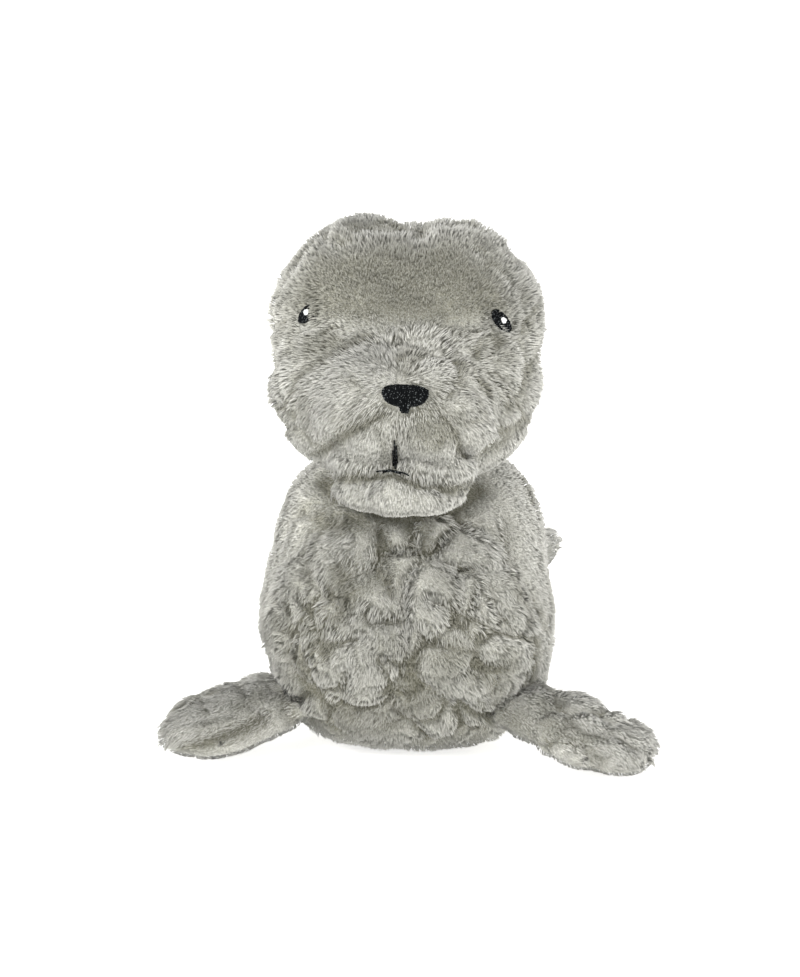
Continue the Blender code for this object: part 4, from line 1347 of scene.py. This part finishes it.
    def comb(self) -> None:
        """Writes the attributes that the pile tree reads."""
        mesh = self.cloth.data
        points, normals = points_of(mesh), normals_of(mesh)
        way, lean = self.nap(points, normals)
        lean = lean[:, None]
        first = unit(normals + way * lean * 0.8)
        last = unit(normals * (1 - lean) + way * lean * 1.5)
        rise = ((PileTree.BEND * first + (1 - PileTree.BEND) * last) * normals).sum(axis=1)
        length = np.minimum(self.pile_height / np.maximum(rise, 0.3), 11 * MM)
        length *= 1 - 0.55 * smooth_step(-normals[:, 2], -0.1, 0.5)
        owner = self.panel_of(points)
        floats = {
            "length": length, "thick": self.thickness(points), "open": self.open_shade_share(points, normals)
        }
        for name, values in floats.items():
            attribute = mesh.attributes.new(name, "FLOAT", "POINT")
            attribute.data.foreach_set("value", values.astype(np.float32))
        for name, rows in {"first_way": first, "last_way": last}.items():
            attribute = mesh.attributes.new(name, "FLOAT_VECTOR", "POINT")
            attribute.data.foreach_set("vector", rows.astype(np.float32).ravel())
        zones = np.array([owner[polygon.vertices[0]] for polygon in mesh.polygons], np.int32)
        mesh.attributes.new("zone", "INT", "FACE").data.foreach_set("value", zones)

    def clear_comb(self) -> None:
        """Removes the attributes that only the pile tree reads."""
        attributes = self.cloth.data.attributes
        for name in ("length", "thick", "first_way", "last_way", "zone", "lumpy"):
            attributes.remove(attributes[name])

    def build(
        self, room: Workroom, stitches: bpy.types.Object, cuts: dict[str, dict[str, Any]]
    ) -> None:
        """Builds the cover and its pile, and puts them on the toy's body.

        Args:
            room: What the cover is made with.
            stitches: The embroidery that the pile keeps clear of.
            cuts: Values for the pile tree, for each panel.
        """
        self.sew()
        shared = {"Folds": self.draw_folds(room.view), "Stitches": stitches, "Lumps": self.lumps}
        points, normals = points_of(self.cloth.data), normals_of(self.cloth.data)
        attribute = self.cloth.data.attributes.new("lumpy", "FLOAT", "POINT")
        attribute.data.foreach_set("value", self.lumpiness(points, normals).astype(np.float32))
        puff = self.cloth.modifiers.new("puff", "NODES")
        puff.node_group = room.puff.tree
        for key, value in {**shared, "Rise": self.puff}.items():
            puff[room.puff.sockets[key]] = value
        bake_modifiers(self.cloth)
        self.clear_filling()
        bpy.data.objects.remove(shared["Folds"])
        shared["Folds"] = self.draw_folds(room.view)
        self.cloth.data.materials.clear()
        self.cloth.data.materials.append(room.ground)
        self.cloth.data.shade_smooth()
        self.comb()
        for zone, panel in enumerate(self.panels):
            values = {"Zone": zone, "Pile height": self.pile_height, **shared, **cuts[panel]}
            piece = room.pile.grow(self.cloth.data, f"{panel}_pile", values)
            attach(piece, BODY)
            log.info("%s: %d triangles", piece.name, len(piece.data.polygons))
        bpy.data.objects.remove(shared["Folds"])
        self.clear_comb()
        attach(self.cloth, BODY)
        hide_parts(*self.panels)
        log.info("%s: %d faces", self.cloth.name, len(self.cloth.data.polygons))


@dataclass
class HeadCover(Cover):
    """The head: its nap runs away from the nose, and stands up on the forehead."""

    CHIN_SIDE = -2.0
    CHIN_REACH = (22.0, 36.0)
    CHIN_DROP = (0.0, -1.5 * MM, -3.8 * MM)

    def origin(self, view: StudioView) -> Vector:
        """The folds are measured from the nose."""
        return centre_of("nose_embroidery")

    def forehead(self, points: np.ndarray, normals: np.ndarray) -> np.ndarray:
        """1 on the forehead, where the pile stands up, and 0 elsewhere."""
        height = points[:, 2] - centre_of("nose_embroidery").z
        front = smooth_step(-normals[:, 1], 0.1, 0.6)
        return smooth_step(height, 14 * MM, 26 * MM) * front

    def nap(self, points: np.ndarray, normals: np.ndarray) -> tuple[np.ndarray, np.ndarray]:
        """The nap runs away from the nose, down on the cheeks and chin, and over the right eye."""
        nose = np.array(centre_of("nose_embroidery"))
        bridge = nose + np.array([0, 0, 7 * MM])
        away = across(points - bridge, normals)
        down = across(np.array([0, 0, -1.0]), normals)
        low = 1 - smooth_step(points[:, 2] - nose[2], -14 * MM, 6 * MM)
        forehead = self.forehead(points, normals)
        way = away + down * (0.2 + 0.7 * low)[:, None] * (1 - forehead)[:, None]
        eye = np.array(centre_of("eye_right"))
        near = 1 - smooth_step(np.linalg.norm(points - eye, axis=1), 7 * MM, 12 * MM)
        brow = near * smooth_step(points[:, 0] - eye[0], -2 * MM, 1 * MM)
        over = across(np.array([-1.0, 0, -0.3]), normals)
        way = unit(way * (1 - brow)[:, None] + over * brow[:, None])
        return way, 0.72 - 0.5 * forehead * (1 - brow) + 0.2 * brow

    def lumpiness(self, points: np.ndarray, normals: np.ndarray) -> np.ndarray:
        """The cheeks and the muzzle are lumpy, and the forehead and the chin are plump."""
        below = centre_of("mouth_embroidery").z - points[:, 2]
        chin = smooth_step(below, 1 * MM, 6 * MM)
        return 1 - 0.8 * np.maximum(chin, self.forehead(points, normals))

    def placed(self, points: np.ndarray) -> np.ndarray:
        """The cloth's points, with the chin rolled down and forward."""
        offset = (points - np.array(centre_of("mouth_embroidery"))) / MM
        aside = 1 - smooth_step(np.abs(offset[:, 0] - self.CHIN_SIDE), *self.CHIN_REACH)
        low = smooth_step(-offset[:, 2], 1, 9) * (1 - smooth_step(offset[:, 1], 4, 22))
        return points + np.outer(aside * low, self.CHIN_DROP)

    def open_shade_share(self, points: np.ndarray, normals: np.ndarray) -> np.ndarray:
        """Painted shade: strong on the forehead, where the pile is seen end on, and light random
        patches on the cheeks and the muzzle.
        """
        forehead = self.forehead(points, normals)
        return 0.3 * super().open_shade_share(points, normals) + 0.8 * forehead

    def thickness(self, points: np.ndarray) -> np.ndarray:
        """No pile where the head sits on the body."""
        body = tree_of(merged_copy(("body_stuffing_front", "body_stuffing_back")))
        return smooth_step(distances(body, points), 2.5 * MM, 5 * MM)


@dataclass
class BodyCover(Cover):
    """The body: its nap runs down the front and back along the sides."""

    def placed(self, points: np.ndarray) -> np.ndarray:
        """The cloth's points, plumper at the seal's right."""
        aside = smooth_step(-points[:, 0], 20 * MM, 45 * MM)
        waist = smooth_step(points[:, 2], 20 * MM, 50 * MM) * (
            1 - smooth_step(points[:, 2], 95 * MM, 115 * MM)
        )
        return points + np.outer(aside * waist, (-1.6 * MM, 0, 0))

    def nap(self, points: np.ndarray, normals: np.ndarray) -> tuple[np.ndarray, np.ndarray]:
        """The nap runs down and out at the front, and back towards the tail behind."""
        front = smooth_step(-normals[:, 1], -0.1, 0.5)[:, None]
        aside = np.clip(points[:, :1] / (20 * MM), -0.5, 1)
        out = aside * np.array([[1.0, 0, 0]])
        down = np.array([[0, 0, -1.0]])
        back = np.array([[0, 1.0, 0]])
        ahead = down + out * 0.55
        behind = down * 0.55 + back
        way = across(ahead * front + behind * (1 - front), normals)
        under = smooth_step(-normals[:, 2], 0.3, 0.8)
        return way, 0.56 + 0.16 * (1 - front[:, 0]) + 0.1 * under

    def lumpiness(self, points: np.ndarray, normals: np.ndarray) -> np.ndarray:
        """The bib is lumpy, and the sides are nearly smooth."""
        return 0.25 + 0.75 * smooth_step(-normals[:, 1], 0.45, 0.8)

    def open_shade_share(self, points: np.ndarray, normals: np.ndarray) -> np.ndarray:
        """Painted shade: random patches, much stronger on the forward-facing bib than on the sides, and
        an even share more on the bib.
        """
        bib = smooth_step(-normals[:, 1], 0.3, 0.8)
        return (0.15 + 0.85 * bib) * super().open_shade_share(points, normals) + 0.2 * bib

    def thickness(self, points: np.ndarray) -> np.ndarray:
        """No pile where the head sits."""
        head = tree_of(merged_copy(("head_stuffing",)))
        return smooth_step(distances(head, points), 2.5 * MM, 5 * MM)


@dataclass
class FlipperCover(Cover):
    """A flipper: its nap runs out to the tip and the edges."""

    root_reach: float = 12 * MM

    def axis(self) -> tuple[Vector, Vector]:
        """A point at the flipper's root and the way to its tip."""
        middle = centre_of(*self.panels)
        points = points_of(merged_copy(self.filling))
        spread = points - np.array(middle)
        _, _, turns = np.linalg.svd(spread - spread.mean(axis=0), full_matrices=False)
        way = Vector(turns[0])
        body = centre_of("body_stuffing_front", "body_stuffing_back")
        if way.dot(middle - body) < 0:
            way = -way
        start = middle + way * float((spread @ np.array(way)).min())
        return start, way.normalized()

    def placed(self, points: np.ndarray) -> np.ndarray:
        """The cloth's points off the floor, with its root drawn into the body."""
        start, way = self.axis()
        along = (points - np.array(start)) @ np.array(way)
        near = 1 - smooth_step(along, 4 * MM, 14 * MM)
        return points - np.array(way) * near[:, None] * self.root_reach

    def open_shade_share(self, points: np.ndarray, normals: np.ndarray) -> np.ndarray:
        """Painted shade only faintly, in random patches."""
        return 0.3 * super().open_shade_share(points, normals)

    def nap(self, points: np.ndarray, normals: np.ndarray) -> tuple[np.ndarray, np.ndarray]:
        """The nap runs to the tip, and spreads a little to the edges."""
        start, way = self.axis()
        offset = points - np.array(start)
        beside = offset - np.outer(offset @ np.array(way), np.array(way))
        beside[:, 2] = 0
        run = across(np.array(way) + unit(beside) * 0.35, normals)
        return run, np.full(len(points), 0.8)


class ThreadTree:
    """The Geometry Nodes tree that turns guide lines into thread."""

    def __init__(self) -> None:
        """Builds the tree."""
        self.tree, self.sockets = new_group(
            "thread",
            {"Guides": SHAPE, "Radius": NUMBER, "Material": "NodeSocketMaterial"},
            {"Thread": SHAPE},
        )
        tree = self.tree
        given = put(tree, GIVEN).outputs
        lines = put(tree, "GeometryNodeMeshToCurve", [given["Guides"]])
        ring = put(
            tree, "GeometryNodeCurvePrimitiveCircle", {"Resolution": 6, "Radius": given["Radius"]}
        )
        tube = put(
            tree, "GeometryNodeCurveToMesh", {"Curve": lines, "Profile Curve": ring, "Fill Caps": True}
        )
        rounded = put(tree, "GeometryNodeSetShadeSmooth", {"Geometry": tube, "Shade Smooth": True})
        real = put(tree, "GeometryNodeRealizeInstances", [rounded])
        dressed = put(
            tree, "GeometryNodeSetMaterial", {"Geometry": real, "Material": given["Material"]}
        )
        put(tree, RESULT, [dressed])

    def sew(
        self, name: str, guides: list[list[Vector]], radius: float, finish: bpy.types.Material
    ) -> bpy.types.Object:
        """Makes one piece of thread.

        Args:
            name: The piece's name.
            guides: The stitches, each as the points that it follows.
            radius: The thread's radius.
            finish: The thread's material.

        Returns:
            The thread as a plain mesh object.
        """
        points, edges = [], []
        for guide in guides:
            first = len(points)
            points.extend(guide)
            edges.extend((i, i + 1) for i in range(first, len(points) - 1))
        mesh = bpy.data.meshes.new(name)
        mesh.from_pydata(points, edges, [])
        made = plain_object(name, mesh)
        sewer = made.modifiers.new("thread", "NODES")
        sewer.node_group = self.tree
        sewer[self.sockets["Radius"]] = radius
        sewer[self.sockets["Material"]] = finish
        bake_modifiers(made)
        return made


@dataclass
class Satin:
    """Satin stitches that cover one embroidered patch, side by side.

    Of every three stitches one lies highest and one lowest, so that the patch looks sewn.
    """

    node: str
    slot: Slot = Slot.BLACK_THREAD
    turn: float = 0.0
    pitch: float = 0.34 * MM
    radius: float = 0.22 * MM
    crown: float = 0.5 * MM
    step: float = 0.2 * MM
    sag: float = 0.075 * MM
    bends: int = 6
    shown: float = 1.0

    def guides(self) -> list[list[Vector]]:
        """Lays the stitches over the patch, by casting rays onto it.

        Returns:
            Each stitch as points from end to end.
        """
        patch = tree_of(merged_copy((self.node,)))
        low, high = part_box(self.node)
        middle = (low + high) / 2
        out = patch.ray_cast(middle + Vector((0, -0.1, 0)), Vector((0, 1, 0)))[1]
        if out is None:
            out = Vector((0, -1, 0))
        level = Vector((0, 0, 1)).cross(out).normalized()
        rise = out.cross(level)
        right = level * math.cos(self.turn) + rise * math.sin(self.turn)
        up = rise * math.cos(self.turn) - level * math.sin(self.turn)
        reach = (high - low).length / 2
        edge = low.x + (high.x - low.x) * self.shown
        columns, rows = int(reach / self.pitch), int(reach / self.step)
        made = []
        for column in range(-columns, columns + 1):
            found = []
            for row in range(-rows, rows + 1):
                start = middle + right * column * self.pitch + up * row * self.step + out * 0.05
                point, normal, _, _ = patch.ray_cast(start, -out, 0.1)
                if point is not None and normal.dot(out) > 0.2 and point.x <= edge:
                    found.append(point)
            made.extend(self.arched(found, out, column))
        return made

    def arched(self, found: list[Vector], out: Vector, column: int) -> list[list[Vector]]:
        """Splits one column's hits into stitches, and arches each over its padding."""
        runs: list[list[Vector]] = []
        for point in found:
            if runs and (point - runs[-1][-1]).length < 4 * self.step:
                runs[-1].append(point)
            else:
                runs.append([point])
        made = []
        shares = [i / self.bends for i in range(self.bends + 1)]
        for run in runs:
            if len(run) > 2:
                picks = [run[round(share * (len(run) - 1))] for share in shares]
                low = self.radius + self.sag * (column % 3)
                heights = [self.crown * math.sin(math.pi * share) - low for share in shares]
                made.append([p + out * h for p, h in zip(picks, heights)])
        return made


@dataclass
class Backstitch:
    """A line of short stitches, drawn as seen from the camera, in millimetres from the nose."""

    node: str
    lines: tuple[tuple[tuple[float, float], ...], ...]
    onto: tuple[str, ...]
    view: StudioView
    slot: Slot = Slot.BLACK_THREAD
    radius: float = 0.3 * MM
    length: float = 2.4 * MM
    sink: float = 1.0 * MM

    def guides(self) -> list[list[Vector]]:
        """Lays the stitches end to end on the pile's face, each a little arched.

        Returns:
            Each stitch as points from end to end.
        """
        face = tree_of(merged_copy(self.onto))
        origin = centre_of("nose_embroidery")
        back = self.view.axes()[2]
        made = []
        for line in self.lines:
            path = Fold(line, 0, 0).laid_on(face, self.view, origin)
            count = max(1, round(len(path) * 0.5 * MM / self.length))
            for number in range(count):
                first = round(number * (len(path) - 1) / count)
                last = round((number + 1) * (len(path) - 1) / count)
                picks = [path[round(first + (last - first) * i / 4)] for i in range(5)]
                heights = [0.25 * MM * math.sin(math.pi * i / 4) - self.sink for i in range(5)]
                made.append([p + back * h for p, h in zip(picks, heights)])
        return made


class Face:
    """The embroidered face: nose, mouth and eyes."""

    MOUTH = (
        ((-3.9, -14.5), (-3.8, -17.0), (-3.6, -24.6)),
        ((-3.2, -16.5), (-2.9, -24.2)),
        ((-4.4, -18.0), (-4.3, -23.8)),
        ((-10.4, -25.6), (-5.2, -25.1), (-0.4, -26.2), (1.6, -27.2)),
        ((-8.0, -25.9), (-4.8, -25.5), (-0.8, -26.7)),
    )

    def __init__(self, view: StudioView) -> None:
        """Lists the pieces of embroidery."""
        head = ("chin_panel", "head_panel_left", "head_panel_right", "forehead_gusset")
        self.sewn = [
            Satin("nose_embroidery"),
            Backstitch("mouth_embroidery", self.MOUTH, head, view),
            Satin("eye_left", turn=math.radians(-56), crown=0.3 * MM),
            Satin("eye_right", turn=math.radians(56), crown=0.3 * MM, shown=0.7),
            Satin("eye_glint_left", Slot.WHITE_THREAD, crown=0.2 * MM, radius=0.16 * MM),
            Satin("eye_glint_right", Slot.WHITE_THREAD, crown=0.2 * MM, radius=0.16 * MM, shown=0.7),
        ]

    def build(self, threads: ThreadTree) -> bpy.types.Object:
        """Sews the face in place of its CAD nodes.

        Args:
            threads: The tree that makes the thread.

        Returns:
            A loose copy of the black stitches, for the pile to keep clear of.
        """
        finishes = {Slot.BLACK_THREAD: BLACK_RAYON.build(), Slot.WHITE_THREAD: WHITE_RAYON.build()}
        joined = bmesh.new()
        for patch in self.sewn:
            name = f"{patch.node}_stitches"
            piece = threads.sew(name, patch.guides(), patch.radius, finishes[patch.slot])
            if patch.slot is Slot.BLACK_THREAD:
                joined.from_mesh(piece.data)
            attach(piece, BODY)
            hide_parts(patch.node)
            log.info("%s: %d faces", piece.name, len(piece.data.polygons))
        mesh = bpy.data.meshes.new("stitches_to_clear")
        joined.to_mesh(mesh)
        joined.free()
        return plain_object(mesh.name, mesh)


class PlushSeal:
    """The whole toy."""

    CUTS = {
        "lower": {"Strands per square metre": 1.2e6, "Tuft swing": 0.3},
        "upper": {"Strands per square metre": 2.0e6, "Tuft swing": 0.4, "Length share": 1.15},
        "belly_panel": {"Strands per square metre": 0.3e6},
        "side_panel": {
            "Strands per square metre": 1.1e6, "Strand radius": 0.2 * MM, "Clump pull": 0.1,
            "Tuft pull": 0.1, "Tuft swing": 0.2, "Stray": 0.08, "Length share": 0.9,
        },
        "chest_panel": {
            "Strands per square metre": 1.9e6, "Clump pull": 0.35, "Tuft pull": 0.35,
            "Tuft size": 4.6 * MM, "Tuft swing": 0.7, "Length share": 1.45,
        },
        "gusset": {
            "Strands per square metre": 1.9e6, "Clump size": 1.9 * MM, "Clump pull": 0.62,
            "Tuft swing": 0.5, "Stray": 0.14, "Length share": 1.15,
        },
        "panel": {
            "Strands per square metre": 1.85e6, "Clump pull": 0.15, "Tuft pull": 0.15,
            "Tuft swing": 0.25, "Stray": 0.1, "Length share": 1.2,
        },
    }

    def __init__(self) -> None:
        """Makes the finishes and the trees that the pieces share."""
        self.fibre = CARDED_FIBRE.build()
        self.plastic = BLOWN_POLYETHYLENE.build()
        valleys = Lumps().build()
        stitches = build_stitch_distance()
        plush = Plush()
        pile = PileTree(plush.build_strands(), valleys, stitches)
        puff = PuffTree(valleys, stitches)
        self.room = Workroom(plush.build_ground(), puff, pile, StudioView())
        self.threads = ThreadTree()

    def covers(self) -> list[Cover]:
        """The toy's covers, head first."""
        proud = 1.0 * MM
        made: list[Cover] = [
            HeadCover(
                "head_cloth",
                ("head_stuffing",),
                ("forehead_gusset", "head_panel_left", "head_panel_right", "chin_panel"),
                proud,
                lumps=0.42,
                folds=HEAD_FOLDS,
            ),
            BodyCover(
                "body_cloth",
                ("body_stuffing_front", "body_stuffing_back"),
                (
                    "chest_panel_left", "chest_panel_right", "side_panel_left", "side_panel_right",
                    "belly_panel",
                ),
                proud,
                folds=BODY_FOLDS,
            ),
        ]
        for kind in ("front", "hind"):
            for side in ("left", "right"):
                layers = tuple(f"{kind}_flipper_{side}_{layer}" for layer in ("upper", "lower"))
                folds = {("front", "left"): LEFT_FLIPPER_FOLDS, ("front", "right"): RIGHT_FLIPPER_FOLDS}
                made.append(
                    FlipperCover(
                        f"{kind}_flipper_{side}_cloth",
                        layers,
                        layers,
                        -4.0 * MM,
                        voxel=3 * MM,
                        swell=0.6 * MM,
                        fill=0.5,
                        pile_height=2.8 * MM,
                        puff=2.6 * MM,
                        lumps=0.45,
                        folds=folds.get((kind, side), ()),
                    )
                )
        return made

    def build_covers(self) -> None:
        """Sews the face, then builds every cover with its pile."""
        stitches = Face(self.room.view).build(self.threads)
        for number, cover in enumerate(self.covers()):
            cuts = {
                panel: {
                    "Seed": number * 10, **next(c for p, c in self.CUTS.items() if p in panel)
                } for panel in cover.panels
            }
            cover.build(self.room, stitches, cuts)
        bpy.data.objects.remove(stitches)

    def dress_filling(self) -> None:
        """Gives the fillings and the squeaker their finishes."""
        finishes = {
            "head_stuffing": self.fibre, "body_stuffing_front": self.fibre,
            "body_stuffing_back": self.fibre, "squeaker_bladder": self.plastic,
            "squeaker_reed": self.plastic,
        }
        for name, finish in finishes.items():
            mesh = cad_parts[name].data
            mesh.materials.clear()
            mesh.materials.append(finish)


def main() -> None:
    """Builds the studio and the toy."""
    logging.basicConfig(level=logging.INFO, format="%(message)s")
    StudioView().build()
    Studio().build()
    seal = PlushSeal()
    seal.build_covers()
    seal.dress_filling()


if __name__ == "__main__":
    main()
